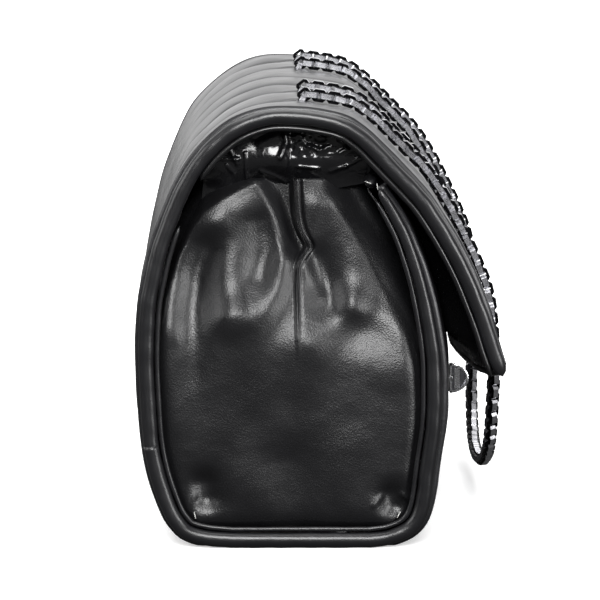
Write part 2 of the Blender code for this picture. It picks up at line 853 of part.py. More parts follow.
def unite(thing, other):
    boolean = thing.modifiers.new("join", "BOOLEAN")
    boolean.operation = "UNION"
    boolean.solver = "EXACT"
    boolean.object = other


def make_lock(metal):
    plate_back = lock_face_y()
    plate_front = plate_back - lock_plate_thickness
    boss_front = plate_front - lock_boss_length
    shape = bmesh.new()
    rounded_plate(shape, lock_plate_width, lock_plate_height, lock_plate_thickness, plate_corner_radius,
                  Vector((0.0, (plate_back + plate_front) / 2, lock_height)), Matrix.Identity(4))
    plate = add_from_bmesh("lock_base_plate", shape, metal)
    boss = bmesh.new()
    upright_cylinder(boss, lock_boss_radius, plate_front + lock_plate_thickness / 2, boss_front, lock_height)
    unite(plate, add_cutter("lock_boss", boss))
    hole_end = boss_front + lock_stem_length / 2 + lock_turn_clearance
    hole = bmesh.new()
    upright_cylinder(hole, lock_stem_radius + lock_turn_clearance, hole_end, boss_front - piece_gap,
                     lock_height)
    cut(plate, add_cutter("lock_stem_hole", hole))

    knob_back = boss_front - lock_turn_clearance
    shape = bmesh.new()
    outline = []
    for step in range(knob_steps + 1):
        angle = math.pi * step / knob_steps
        y = knob_back - math.sin(angle) * knob_reach
        z = lock_height + math.cos(angle) * knob_radius
        outline.append(Vector((knob_thickness / 2, y, z)))
    face = shape.faces.new([shape.verts.new(point) for point in outline])
    grown = bmesh.ops.extrude_face_region(shape, geom=[face])
    moved = [item for item in grown["geom"] if isinstance(item, bmesh.types.BMVert)]
    bmesh.ops.translate(shape, verts=moved, vec=(-knob_thickness, 0.0, 0.0))
    bmesh.ops.recalc_face_normals(shape, faces=shape.faces)
    sides = [item for item in shape.faces if abs(item.normal.x) > 0.9]
    bmesh.ops.inset_individual(shape, faces=sides, thickness=knob_rim)
    for item in sides:
        inward = item.normal * -knob_recess
        bmesh.ops.translate(shape, verts=list(item.verts), vec=inward)
    knob = add_from_bmesh("lock_knob", shape, metal)
    stem = bmesh.new()
    upright_cylinder(stem, lock_stem_radius, knob_back + lock_stem_length / 2,
                     knob_back - lock_stem_length / 4, lock_height)
    unite(knob, add_cutter("lock_stem", stem))
    axis = Vector((0.0, knob_back, lock_height))
    knob.data.transform(Matrix.Translation(-axis))
    knob.location = axis

    behind = [front_lining_y(lock_height + sign * washer_height / 2) for sign in (-1.0, 0.0, 1.0)]
    inside_y = max(behind) + plate_seat_clearance
    shape = bmesh.new()
    rounded_plate(shape, washer_width, washer_height, lock_plate_thickness, washer_corner_radius,
                  Vector((0.0, inside_y + lock_plate_thickness / 2, lock_height)), Matrix.Identity(4))
    add_from_bmesh("lock_washer_plate", shape, metal)


def slot_cutter(name):
    point, outward, turn = slot_frame()
    shape = bmesh.new()
    size = (slot_opening_width, cutter_reach, slot_opening_height)
    box(shape, size, point, turn)
    return add_cutter(name, shape)


def make_slot_plates(metal, slot):
    point, outward, turn = slot_frame()
    seats = {
        "flap_slot_plate": quilt_puff + piece_gap + slot_plate_thickness / 2,
        "flap_slot_backing": -(lining_inner_depth + plate_seat_clearance + slot_plate_thickness / 2),
    }
    for name, height in seats.items():
        shape = bmesh.new()
        rounded_plate(shape, slot_plate_width, slot_plate_height, slot_plate_thickness, plate_corner_radius,
                      point + outward * height, turn)
        plate = add_from_bmesh(name, shape, metal)
        cut(plate, slot)


def build():
    start_scene()
    leather = make_material("black_leather", (0.018, 0.018, 0.020), 0.36)
    binding_leather = make_material("black_edge_leather", (0.012, 0.012, 0.013), 0.32)
    lining = make_material("black_lining", (0.010, 0.010, 0.011), 0.25)
    board = make_material("grey_board", (0.25, 0.24, 0.22), 0.80)
    chain_metal = make_material("gunmetal_chain", (0.32, 0.32, 0.33), 0.28, 1.0)
    lock_metal = make_material("polished_lock_metal", (0.60, 0.60, 0.61), 0.18, 1.0)

    make_front_panel(leather)
    make_base_panel(leather)
    make_back_panel(leather)
    make_base_board(board)
    make_edge_bindings(binding_leather)
    make_mouth_binding(binding_leather)
    make_gussets(leather)
    make_gusset_pipings(binding_leather)
    make_shell_linings(lining)
    make_end_linings(lining)
    make_slip_pocket(lining)

    slits = slit_cutter("slit_cutter")
    slot = slot_cutter("slot_cutter")
    make_flap_panel(leather, slits, slot)
    make_flap_lining(lining, slits, slot)
    make_flap_edges(binding_leather)
    make_slot_plates(lock_metal, slot)
    make_bights(chain_metal)
    make_outer_loop(chain_metal)
    make_inner_loop(chain_metal)
    make_lock(lock_metal)


build()
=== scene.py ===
"""Quilted shoulder bag with a folding flap, a box-link chain strap and a turn lock."""
import math

import bmesh
import bpy
import numpy as np
from mathutils import Matrix, Vector, noise


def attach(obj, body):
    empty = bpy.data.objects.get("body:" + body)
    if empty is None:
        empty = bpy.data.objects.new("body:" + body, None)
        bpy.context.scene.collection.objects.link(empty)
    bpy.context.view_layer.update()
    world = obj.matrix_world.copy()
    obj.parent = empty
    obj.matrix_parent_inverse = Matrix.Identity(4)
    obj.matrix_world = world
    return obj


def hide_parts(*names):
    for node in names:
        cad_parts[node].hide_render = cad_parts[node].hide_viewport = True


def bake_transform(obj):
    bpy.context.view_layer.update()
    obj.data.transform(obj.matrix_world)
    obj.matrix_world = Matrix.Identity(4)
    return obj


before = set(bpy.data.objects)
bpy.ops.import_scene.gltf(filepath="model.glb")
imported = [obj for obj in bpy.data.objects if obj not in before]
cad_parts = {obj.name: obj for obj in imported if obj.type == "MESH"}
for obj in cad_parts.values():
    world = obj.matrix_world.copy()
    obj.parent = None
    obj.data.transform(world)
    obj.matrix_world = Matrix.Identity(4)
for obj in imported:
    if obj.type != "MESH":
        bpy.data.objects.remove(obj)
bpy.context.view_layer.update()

# Leather shell of the body: coated leather over thin foam, sewn into straight channels that run
# round the bag. The front is a panel of its own, sewn to the base along its lower edge.
width = 0.250
depth = 0.120
height = 0.172
half_width = width / 2
channels = 7
channel = width / channels
panel_edge = 0.1187
shell_wall = 0.0040
puff = 0.0014
groove = 0.0007
groove_width = 0.0016
lip_gap = 0.00018
front_bulge = 0.0035
floor_clearance = 0.0002
front_shares = [
    (-0.289, 0.826), (-0.315, 0.796), (-0.347, 0.758), (-0.376, 0.719), (-0.402, 0.672),
    (-0.422, 0.631), (-0.438, 0.590), (-0.454, 0.541), (-0.470, 0.482), (-0.480, 0.428),
    (-0.484, 0.364), (-0.484, 0.314), (-0.478, 0.260), (-0.462, 0.181), (-0.452, 0.122),
    (-0.440, 0.081), (-0.420, 0.050), (-0.382, 0.025), (-0.321, 0.007), (-0.253, 0.000),
]
per_mm = 1000.0  # a pattern's scale is how many of its marks lie in a metre


def linear(code):
    """sRGB hex to linear colour."""
    parts = [int(code[i:i + 2], 16) / 255 for i in (1, 3, 5)]
    return tuple(c / 12.92 if c <= 0.04045 else ((c + 0.055) / 1.055) ** 2.4 for c in parts) + (1.0,)


def fit(tree, made, inputs):
    """Sets a node's sockets: another node's socket is linked, anything else is its value."""
    for key, value in inputs.items():
        if isinstance(value, bpy.types.NodeSocket):
            tree.links.new(value, made.inputs[key])
        else:
            made.inputs[key].default_value = value


def node(tree, kind, inputs=None, **settings):
    """One shader node with its settings and its links."""
    made = tree.nodes.new("ShaderNode" + kind)
    for key, value in settings.items():
        setattr(made, key, value)
    fit(tree, made, inputs or {})
    return made


def new_material(name):
    """A material with its tree, its shader and the piece's own coordinates."""
    made = bpy.data.materials.new(name)
    made.use_nodes = True
    tree = made.node_tree
    return made, tree, tree.nodes["Principled BSDF"], node(tree, "TexCoord").outputs["Object"]


def coated_leather(name, dark, light, roughness, grain_mm=0.55, grain_depth=0.00005, crease_depth=0.0,
                   coat=0.10):
    """Coated leather, embossed with a fine pebble grain and polished a little where it is handled."""
    made, tree, shader, place = new_material(name)
    cells = node(tree, "TexVoronoi", {
        "Vector": place, "Scale": per_mm / grain_mm, "Randomness": 1.0}, feature="SMOOTH_F1")
    pores = node(tree, "TexNoise", {"Vector": place, "Scale": 2.6 * per_mm, "Detail": 3.0})
    clouds = node(tree, "TexNoise", {"Vector": place, "Scale": 0.026 * per_mm, "Detail": 5.0, "Roughness": 0.6})
    tint = node(tree, "Mix", {
        "Factor": clouds.outputs["Fac"], 6: linear(dark), 7: linear(light)}, data_type="RGBA")
    rough = node(tree, "MapRange", {
        "Value": clouds.outputs["Fac"], "From Min": 0.3, "From Max": 0.7,
        "To Min": roughness - 0.05, "To Max": roughness + 0.07})
    grain = node(tree, "Bump", {
        "Height": cells.outputs["Distance"], "Distance": grain_depth, "Strength": 0.6})
    last = node(tree, "Bump", {
        "Height": pores.outputs["Fac"], "Distance": grain_depth / 3, "Strength": 0.6,
        "Normal": grain.outputs["Normal"]})
    if crease_depth:
        folds = node(tree, "TexNoise", {
            "Vector": place, "Scale": 0.085 * per_mm, "Detail": 2.0, "Distortion": 0.6})
        last = node(tree, "Bump", {
            "Height": folds.outputs["Fac"], "Distance": crease_depth, "Strength": 0.5,
            "Normal": last.outputs["Normal"]})
    fit(tree, shader, {
        "Base Color": tint.outputs[2], "Roughness": rough.outputs["Result"], "Normal": last.outputs["Normal"],
        "Specular IOR Level": 0.42, "Coat Weight": coat, "Coat Roughness": 0.18})
    return made


quilted_leather = coated_leather("coated_leather_quilted", "#121214", "#1b1b1e", 0.38, crease_depth=0.0006)


def spline(shares):
    """Smooth closed-form line through the shares: gives y and z at row positions."""
    points = np.array(shares) * (depth, height)
    before = 2 * points[0] - points[1]
    after = 2 * points[-1] - points[-2]
    padded = np.vstack([before, points, after])

    def at(rows):
        rows = np.clip(np.asarray(rows, float), 0, len(points) - 1)
        low = np.minimum(rows.astype(int), len(points) - 2)
        t = (rows - low)[..., None]
        a, b, c, d = padded[low], padded[low + 1], padded[low + 2], padded[low + 3]
        return 0.5 * (2 * b + (c - a) * t + (2 * a - 5 * b + 4 * c - d) * t ** 2
                      + (3 * b - a - 3 * c + d) * t ** 3)
    at.last = len(points) - 1
    return at


def lengths_along(table):
    """Distance of each point of a line from its first."""
    return np.concatenate([[0], np.cumsum(np.linalg.norm(np.diff(table, axis=0), axis=1))])


def even_rows(line, count, start=0.0, end=None):
    """Row positions at equal distances along a line."""
    rows = np.linspace(start, line.last if end is None else end, 1200)
    lengths = lengths_along(line(rows))
    return np.interp(np.linspace(0, lengths[-1], count), lengths, rows)


def frame_at(line, rows, last=None):
    """Points and outward normals of a profile line at row positions."""
    last = line.last if last is None else last
    along = line(np.minimum(rows + 0.05, last)) - line(np.maximum(rows - 0.05, 0.0))
    along /= np.linalg.norm(along, axis=1)[:, None]
    return line(rows), np.stack([along[:, 1], -along[:, 0]], axis=1)


front_line = spline(front_shares)
wrap_reach = 0.0105
wrap_wall = 0.0004


def quilt_height(x):
    """Height of the foam channel at x, with the sewn groove between channels."""
    share = (x + half_width) / channel
    share -= math.floor(share)
    from_line = min(share, 1 - share) * channel
    sewn = 1.0 if abs(x) < half_width - 0.6 * channel else 0.0
    body = puff * (1 - abs(2 * share - 1) ** 2.2)
    wrap = wrap_wall * min(1.0, max(0.0, (abs(x) - half_width + wrap_reach) / 0.0004 + 0.5))
    return body + wrap - sewn * groove * math.exp(-(from_line / groove_width) ** 2)


def columns():
    """X positions across the shell with their channels, finer near the stitch lines and the wrapped edge."""
    places = []
    for index in range(channels):
        start = -half_width + index * channel + lip_gap
        end = -half_width + (index + 1) * channel - lip_gap
        if index == 0:
            start = -panel_edge
        if index == channels - 1:
            end = panel_edge
        for step in range(15):
            share = 0.5 - 0.5 * math.cos(math.pi * step / 14)
            places.append((start + (end - start) * (0.35 * step / 14 + 0.65 * share), index))
    for side, index in ((-1, 0), (1, channels - 1)):
        for away in (-0.0006, -0.0002, 0.0002, 0.0006):
            places.append((side * (half_width - wrap_reach + away), index))
    return sorted(places)


def lofted(across, along, place, closed=False):
    """A grid laid over a surface: place(i, j) gives the point of column i and row j."""
    shape = bmesh.new()
    bmesh.ops.create_grid(shape, x_segments=across - 1, y_segments=along - 1, size=0.5, calc_uvs=False)
    uv = shape.loops.layers.uv.new("surface")
    shape.verts.ensure_lookup_table()
    index_of = {}
    for vert in shape.verts:
        i = round((vert.co.x + 0.5) * (across - 1))
        j = round((vert.co.y + 0.5) * (along - 1))
        index_of[vert] = (i, j)
    for face in shape.faces:
        for loop in face.loops:
            i, j = index_of[loop.vert]
            loop[uv].uv = (i / (across - 1), j / (along - 1))
    for vert, (i, j) in index_of.items():
        vert.co = place(i, j)
    if closed:
        bmesh.ops.remove_doubles(shape, verts=shape.verts, dist=1e-6)
    return shape, index_of


def finished(name, shape, material, body, nodes=(), smooth=True):
    """Puts a shape in the scene as a piece that rides on a body."""
    mesh = bpy.data.meshes.new(name)
    shape.to_mesh(mesh)
    shape.free()
    mesh.polygons.foreach_set("use_smooth", [smooth and len(face.vertices) < 5 for face in mesh.polygons])
    mesh.materials.append(material)
    piece = bpy.data.objects.new(name, mesh)
    bpy.context.scene.collection.objects.link(piece)
    if body:
        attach(piece, body)
    if nodes:
        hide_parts(*nodes)
    return piece


def thicken(piece, thickness, offset=-1.0):
    """Gives a sheet its thickness."""
    wall = piece.modifiers.new("wall", "SOLIDIFY")
    wall.thickness = thickness
    wall.offset = offset


def softly(x, y, z, scale, strength):
    """Slow unevenness of soft goods at a place."""
    return noise.noise(Vector((x * scale, y * scale, z * scale))) * strength


def lifted(x, point, out, lift):
    """A point of a profile at one x, moved outward."""
    return Vector((x, point[0] + out[0] * lift, point[1] + out[1] * lift))


def above_floor(point):
    point.z = max(point.z, floor_clearance)
    return point


def face_outward(shape, outness):
    """Turns all faces the same way, and outward by the sum of what each one adds."""
    bmesh.ops.recalc_face_normals(shape, faces=shape.faces)
    if sum(outness(face) for face in shape.faces) < 0:
        bmesh.ops.reverse_faces(shape, faces=shape.faces)


bag_centre = Vector((0, 0, height / 2))


def from_bag_centre(face):
    return (face.calc_center_median() - bag_centre).dot(face.normal)


column_places, channel_of = (np.array(each) for each in zip(*columns()))
column_heights = np.array([quilt_height(x) for x in column_places])


def bulge_at(row_share, x):
    """The full bag pushes the front out, most at mid height."""
    return front_bulge * math.sin(math.pi * row_share) * (1 - abs(x / half_width) ** 4)


front_panel_rows = even_rows(front_line, 90)
panel_points, panel_outward = frame_at(front_line, front_panel_rows)


def front_place(i, j):
    x = column_places[i]
    lift = column_heights[i] + softly(x, *panel_points[j], 60, 0.0005)
    lift += bulge_at(front_panel_rows[j] / front_line.last, x)
    return above_floor(lifted(x, panel_points[j], panel_outward[j], lift))


shape, _ = lofted(len(column_places), 90, front_place)
face_outward(shape, from_bag_centre)
quilted_front = finished("quilted_front", shape, quilted_leather, "bag", ["front_panel"])
thicken(quilted_front, shell_wall)

# Base of the shell: the same coated leather, flat and unquilted. It is drawn tight over the base
# board, and sewn to the front and back along its long edges.
base_wall = 0.0022
base_lift = 0.00025
base_line = spline([(-0.2525, 0.0), (-0.10, 0.0), (0.05, 0.0), (0.1975, 0.0)])


def base_place(i, j):
    y = base_line(j / 29 * 3)[0]
    x = -panel_edge + 2 * panel_edge * i / 59
    return Vector((x, y, base_lift * min(1.0, 0.5 + softly(x, y, 0, 90, 1.0))))


shape, _ = lofted(60, 30, base_place)
for face in shape.faces:
    if face.normal.z > 0:
        face.normal_flip()
thicken(finished("leather_base", shape, quilted_leather, "bag", ["base_panel"]), base_wall)

# Back and flap: one length of the quilted leather that goes up the back and folds over the top.
# It is slit along four of its stitch lines for the chain, and has a slot behind the lock's plate.
back_shares = [
    (0.198, 0.000), (0.285, 0.006), (0.353, 0.020), (0.392, 0.045), (0.422, 0.081), (0.460, 0.156),
    (0.483, 0.233), (0.493, 0.319), (0.499, 0.409), (0.499, 0.461), (0.496, 0.514), (0.490, 0.563),
    (0.477, 0.613), (0.460, 0.665), (0.438, 0.717), (0.409, 0.771),
]
flap_end_shares = [
    (0.409, 0.771), (0.373, 0.828), (0.324, 0.885), (0.256, 0.937), (0.175, 0.975), (0.078, 0.996),
    (-0.023, 0.996), (-0.118, 0.986), (-0.175, 0.974), (-0.210, 0.960), (-0.252, 0.937), (-0.297, 0.905),
    (-0.346, 0.869), (-0.398, 0.831), (-0.445, 0.793), (-0.494, 0.741), (-0.531, 0.697), (-0.558, 0.662),
    (-0.588, 0.618), (-0.617, 0.568), (-0.646, 0.515), (-0.669, 0.464), (-0.694, 0.416),
]
flap_top_shares = [
    (0.409, 0.771), (0.373, 0.828), (0.323, 0.885), (0.253, 0.935), (0.172, 0.972), (0.077, 0.993),
    (-0.023, 0.994), (-0.119, 0.986), (-0.176, 0.978), (-0.214, 0.964), (-0.257, 0.940),
]
flap_run_shares = flap_top_shares + [
    (-0.302, 0.909), (-0.353, 0.873), (-0.406, 0.836), (-0.450, 0.795), (-0.496, 0.741), (-0.528, 0.696),
    (-0.553, 0.661), (-0.582, 0.616), (-0.610, 0.566), (-0.624, 0.513), (-0.631, 0.458), (-0.633, 0.403),
]
flap_middle_shares = flap_top_shares + [
    (-0.294, 0.908), (-0.342, 0.872), (-0.385, 0.838), (-0.419, 0.793), (-0.458, 0.741), (-0.484, 0.696),
    (-0.504, 0.656), (-0.529, 0.609), (-0.555, 0.557), (-0.574, 0.498), (-0.585, 0.441), (-0.588, 0.384),
]
flare_power = 1.4
edge_fall_power = 1.5
back_line = spline(back_shares)
flap_end_line, flap_run_line, flap_middle_line = (
    spline(shares) for shares in (flap_end_shares, flap_run_shares, flap_middle_shares))
run_x = half_width - channel


def flap_frame(rows, x):
    """Points and outward normals of the flap's outer side at one x, flared toward the ends."""
    beyond = abs(x) - run_x
    if beyond <= 0:
        inner, outer, flare = flap_middle_line, flap_run_line, abs(x / run_x) ** flare_power
    else:
        inner, outer = flap_run_line, flap_end_line
        flare = min(1.0, beyond / (half_width - 0.0025 - run_x)) ** edge_fall_power

    def mixed(r):
        near = inner(r)
        return near + (outer(r) - near) * flare
    return frame_at(mixed, np.asarray(rows, float), flap_end_line.last)


# The slits lie on the stitch lines between the first and last three channels.
slit_lines = [0, 1, 4, 5]
slit_places = [-half_width + (line + 1) * channel for line in slit_lines]
slit_centre_y = -0.0030
slit_half_length = 0.0075
slit_half_width = 0.0027
slot_row = 20.0
slot_half_width = 0.0073
slot_half_height = 0.0024
back_rows = even_rows(back_line, 70)[:-1]
flap_rows = even_rows(flap_middle_line, 132)
back_points, back_outward = frame_at(back_line, back_rows)
flap_tables = {i: flap_frame(flap_rows, x) for i, x in enumerate(column_places)}


def slit_opening(y, z):
    """Share of the full opening of a slit, as a lens that is widest near its front end."""
    share = (y - slit_centre_y) / slit_half_length
    if abs(share) >= 1 or z < 0.9 * height:
        return 0.0
    return (1 - share ** 2) ** 0.8 * (1 - 0.35 * share)


def back_flap_place(i, j):
    x = column_places[i]
    if j < len(back_rows):
        point, out = back_points[j], back_outward[j]
    else:
        point, out = (table[j - len(back_rows)] for table in flap_tables[i])
    lift = column_heights[i] + softly(x, *point, 60, 0.0005)
    shift = 0.0
    for slit_x in slit_places:
        away = x - slit_x
        if abs(away) < 0.5 * channel:
            opening = slit_opening(*point)
            pull = math.exp(-(abs(away) / 0.004) ** 1.5)
            shift += math.copysign(slit_half_width * opening * pull, away)
            lift += 0.0009 * opening * math.exp(-((abs(away) - 0.002) / 0.004) ** 2)
    return above_floor(lifted(x + shift, point, out, lift))


slot_height = flap_frame([slot_row], 0.0)[0][0][1]


def in_slot(centre):
    """Whether a face lies in the slot for the thumb-turn."""
    level = abs(centre.z - slot_height) < slot_half_height
    return level and abs(centre.x) < slot_half_width and centre.y < -0.05


shape, index_of = lofted(len(column_places), len(back_rows) + len(flap_rows), back_flap_place)
opened = []
for face in shape.faces:
    centre = face.calc_center_median()
    low = min(index_of[vert][0] for vert in face.verts)
    between_channels = channel_of[low] != channel_of[low + 1] and channel_of[low] in slit_lines
    if between_channels and slit_opening(centre.y, centre.z) > 0.12 or in_slot(centre):
        opened.append(face)
bmesh.ops.delete(shape, geom=opened, context="FACES")
face_outward(shape, from_bag_centre)
back_and_flap = finished("quilted_back_and_flap", shape, quilted_leather, None,
                         ["back_panel", "flap_panel"])
thicken(back_and_flap, shell_wall)


def bend_at_fold(piece):
    """Bakes the piece's placement into its mesh."""
    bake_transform(piece)


bend_at_fold(back_and_flap)

# Stitching of the channels: thick bonded thread, about five millimetres to a stitch, sunk in the
# groove between two channels. It stops at each slit and goes on behind it.
stitch_pitch = 0.0050
stitch_length = 0.0036
thread_radius = 0.00040
thread_sink = -groove + 0.00060

# Bonded nylon thread: twisted, slightly waxy, a shade darker than the leather.
thread, tree, shader, place = new_material("bonded_nylon_thread")
twist = node(tree, "TexNoise", {"Vector": place, "Scale": 3.2 * per_mm, "Detail": 1.0})
tint = node(tree, "Mix", {
    "Factor": twist.outputs["Fac"], 6: linear("#030303"), 7: linear("#0c0c0d")}, data_type="RGBA")
bump = node(tree, "Bump", {"Height": twist.outputs["Fac"], "Distance": 0.00008, "Strength": 0.8})
fit(tree, shader, {"Base Color": tint.outputs[2], "Normal": bump.outputs["Normal"], "Roughness": 0.55})


def add_stitch(shape, start, end, out, radius):
    """One stitch: a short rounded length of thread between its two holes."""
    along = (end - start).normalized()
    side = along.cross(out).normalized()
    turn = Matrix((side, side.cross(along), along)).transposed().to_4x4()
    size = Matrix.Diagonal((radius, radius, (end - start).length / 2, 1.0))
    bmesh.ops.create_uvsphere(shape, u_segments=6, v_segments=4, radius=1.0,
                              matrix=Matrix.Translation((start + end) / 2) @ turn @ size)


def table_of(vectors):
    return np.array([tuple(each) for each in vectors])


def sample(distance, lengths, table):
    """The place, or direction, at a distance along a line."""
    return Vector([float(np.interp(distance, lengths, column)) for column in table.T])


def stitch_row(shape, points, normals, pitch, length, radius=thread_radius, skip=None):
    """Stitches along a line of points, at equal steps."""
    table, normal_table = table_of(points), table_of(normals)
    lengths = lengths_along(table)
    for index in range(int(lengths[-1] / pitch)):
        hole = (index + 0.3) * pitch
        start, end = (sample(distance, lengths, table) for distance in (hole, hole + length))
        if not (skip and (skip(start) or skip(end))):
            add_stitch(shape, start, end, sample(index * pitch, lengths, normal_table), radius)


def upright(normals):
    """Profile normals as directions in the bag's frame."""
    return [Vector((0, *n)) for n in normals]


def at_slit(point):
    return slit_opening(point.y, point.z) > 0.02


front_rows = even_rows(front_line, 120)
front_points, front_outward = frame_at(front_line, front_rows)
body_stitches = bmesh.new()
flap_stitches = bmesh.new()
for index in range(1, channels):
    x = -half_width + index * channel
    sinks = [thread_sink + bulge_at(row / front_line.last, x) for row in front_rows]
    seam = [lifted(x, p, o, sink) for p, o, sink in zip(front_points, front_outward, sinks)]
    stitch_row(body_stitches, seam, upright(front_outward), stitch_pitch, stitch_length)
    table_points, table_normals = flap_frame(flap_rows, x)
    seam = [lifted(x, p, o, thread_sink) for p, o in [*zip(back_points, back_outward),
                                                      *zip(table_points, table_normals)]]
    stitch_row(flap_stitches, seam, upright([*back_outward, *table_normals]), stitch_pitch, stitch_length,
               skip=at_slit if index - 1 in slit_lines else None)
finished("front_quilt_stitching", body_stitches, thread, "bag")
bend_at_fold(finished("back_and_flap_quilt_stitching", flap_stitches, thread, None))

# Rolled edges: a strip of leather turned round the raw edge of the wrap at both ends of the bag, and
# sewn through beside the roll. It is fat on the back and base and slimmer toward the mouth.
edge_leather = coated_leather("coated_leather_rolled_edge", "#0e0e10", "#161618", 0.34, crease_depth=0.0003)
ends = (("left", -1.0), ("right", 1.0))
roll_steps = 20
roll_radius = 0.0030
roll_slim_radius = 0.0019
roll_tucked_radius = 0.00294
taper_length = 0.085
roll_inset = 0.0027
roll_tip = 0.0035
roll_flatness = 0.9
roll_wobble = 0.00022
outline_step = 0.0018
outline_rows = 333


def tube_along(points, normals, sides, radii, flat=1.0, wobble=0.0, rounded=(True, True)):
    """A soft tube: normals give its thick direction, radii half of that, rounded says which ends close."""
    count = len(points)
    frames = []
    for k in range(count):
        along = (points[min(k + 1, count - 1)] - points[max(k - 1, 0)]).normalized()
        side = along.cross(normals[k]).normalized()
        frames.append((side, side.cross(along).normalized()))

    def place(i, j):
        side, up = frames[j]
        angle = 2 * math.pi * i / sides
        radius = radii[j]
        for is_rounded, from_end in zip(rounded, (j, count - 1 - j)):
            if is_rounded and from_end < 4:
                radius = max(radius * math.sqrt(1 - (1 - from_end / 4) ** 2), 1e-5)
        point = points[j] + side * math.cos(angle) * radius * flat + up * math.sin(angle) * radius
        if wobble:
            point += (point - points[j]).normalized() * softly(point.x, point.y, point.z, 160, wobble)
        return point
    shape, _ = lofted(sides + 1, count, place, closed=True)
    bmesh.ops.holes_fill(shape, edges=[e for e in shape.edges if e.is_boundary], sides=0)
    bmesh.ops.recalc_face_normals(shape, faces=shape.faces)
    return shape


def end_outline(lines):
    """Points, outward normals and distances at even steps along joined profile lines."""
    parts = [frame_at(line, even_rows(line, outline_rows, start, end)) for line, start, end in lines]
    table, outs = (np.concatenate(each) for each in zip(*parts))
    lengths = lengths_along(table)
    keep = np.concatenate([[True], np.diff(lengths) > 1e-7])
    table, outs, lengths = table[keep], outs[keep], lengths[keep]
    even = np.linspace(0, lengths[-1], int(lengths[-1] / outline_step))
    smooth, normal = (np.stack([np.interp(even, lengths, column) for column in values.T], axis=1)
                      for values in (table, outs))
    normal /= np.linalg.norm(normal, axis=1)[:, None]
    return smooth, normal, even


def moved_in(points, normals, insets, x):
    """The line moved inward at one x, each point by its own distance."""
    return [lifted(x, p, n, -d) for p, n, d in zip(points, normals, insets)]


join_row = 6.0
body_outline = end_outline([(front_line, 0, front_line.last), (base_line, 0, 3), (back_line, 0, join_row)])
back_flap_outline = end_outline([(back_line, join_row - 0.12, back_line.last),
                                 (flap_end_line, 0, flap_end_line.last)])


def front_taper(distances):
    """Half thickness of the roll along the body: slim at the mouth, full from the lock down."""
    return [roll_slim_radius + (roll_radius - roll_slim_radius) * min(1.0, d / taper_length) for d in distances]


for side, sign in ends:
    points, normals, distances = body_outline
    radii = front_taper(distances)
    x = sign * (half_width - roll_inset)
    centre = moved_in(points, normals, radii, x)
    roll = tube_along(centre, upright(normals), roll_steps, radii, roll_flatness, roll_wobble, (True, False))
    finished("rolled_edge_body_" + side, roll, edge_leather, "bag", ["edge_binding_" + side])

    points, normals, _ = back_flap_outline
    radii = [roll_radius] * len(points)
    centre = moved_in(points, normals, radii, x)
    radii[0] = roll_tucked_radius
    tip = centre[-1] + (centre[-1] - centre[-2]).normalized() * roll_tip
    centre += [centre[-1].lerp(tip, 0.5), tip]
    outs = upright([*normals, normals[-1], normals[-1]])
    radii += radii[-1:] * 2
    roll = tube_along(centre, outs, roll_steps, radii, roll_flatness, roll_wobble, (False, True))
    bend_at_fold(finished("rolled_edge_flap_" + side, roll, edge_leather, None,
                          ["flap_binding_" + side]))

# Piping of the gussets: a thin cord wrapped in leather, caught in the seam that joins each gusset to
# the wrap. It ends at the mouth in front and just under the fold at the back.
piping_radius = 0.0010
piping_gap = 0.0003
piping_x = half_width - 0.0030
piping_outline = end_outline([(front_line, 0, front_line.last), (base_line, 0, 3),
                              (back_line, 0, back_line.last)])
for side, sign in ends:
    points, normals, distances = piping_outline
    insets = [2 * r + piping_radius + piping_gap for r in front_taper(distances)]
    centre = moved_in(points, normals, insets, sign * piping_x)
    radii = [piping_radius] * (len(centre) - 4)
    cord = tube_along(centre[2:-2], upright(normals)[2:-2], 12, radii, 1.0, 0.0001)
    finished("wrapped_piping_" + side, cord, edge_leather, "bag", ["gusset_piping_" + side])

# Gussets: one soft leather piece at each end, wider than the space it fills. It folds in along a
# centre pleat that closes toward the mouth, and its lower corners are tucked into the base seam.
gusset_leather = coated_leather(
    "coated_leather_gusset", "#0b0b0c", "#121214", 0.35, grain_mm=0.6, grain_depth=0.00013, coat=0.0)
gusset_ring = piping_outline[0] - piping_outline[1] * 0.0063
gusset_low = gusset_ring[:, 1].min()
gusset_top = 0.8345 * height
gusset_wall = 0.0012
units_per_metre = 2570.0
units_to_middle = 293
units_to_floor = 551


def units_at(y, z):
    """Places over an end in units of 0.39 mm, counted from the back and from above."""
    return units_to_middle - y * units_per_metre, units_to_floor - z * units_per_metre


def limits_at(z, ring):
    """Front and back y of the ring at a height."""
    middle = int(np.argmin(ring[:, 1]))
    front = ring[:middle + 1][::-1]
    back = ring[middle:]
    return [float(np.interp(z, half[:, 1], half[:, 0])) for half in (front, back)]


def stroke(across, down, path, spread, amount):
    """A rounded ridge along a path over the end, or a groove where the amount is negative."""
    nearest = np.full(across.shape, 1e9)
    for (x0, y0), (x1, y1) in zip(path[:-1], path[1:]):
        reach = (x1 - x0) ** 2 + (y1 - y0) ** 2
        share = np.clip(((across - x0) * (x1 - x0) + (down - y0) * (y1 - y0)) / reach, 0, 1)
        nearest = np.minimum(nearest, np.hypot(across - x0 - share * (x1 - x0), down - y0 - share * (y1 - y0)))
    return amount * np.exp(-(nearest / spread) ** 2)


def eased(value):
    value = np.clip(value, 0, 1)
    return value * value * (3 - 2 * value)


def soft_path(down, path_down, path_across, spread=2.5):
    """Place of an edge at each height, with the corners of its path rounded off."""
    steps = np.linspace(-2, 2, 9)
    weights = np.exp(-steps ** 2 / 2)
    parts = [w * np.interp(down + s * spread, path_down, path_across) for s, w in zip(steps, weights)]
    return sum(parts) / sum(weights)


def drifting(across, down, scale, amount, seed):
    """Slow unevenness of the leather, as a table of heights."""
    return np.array([[noise.noise(Vector((a / scale, d / scale, seed))) * amount for a, d in zip(row, low)]
                     for row, low in zip(across, down)])


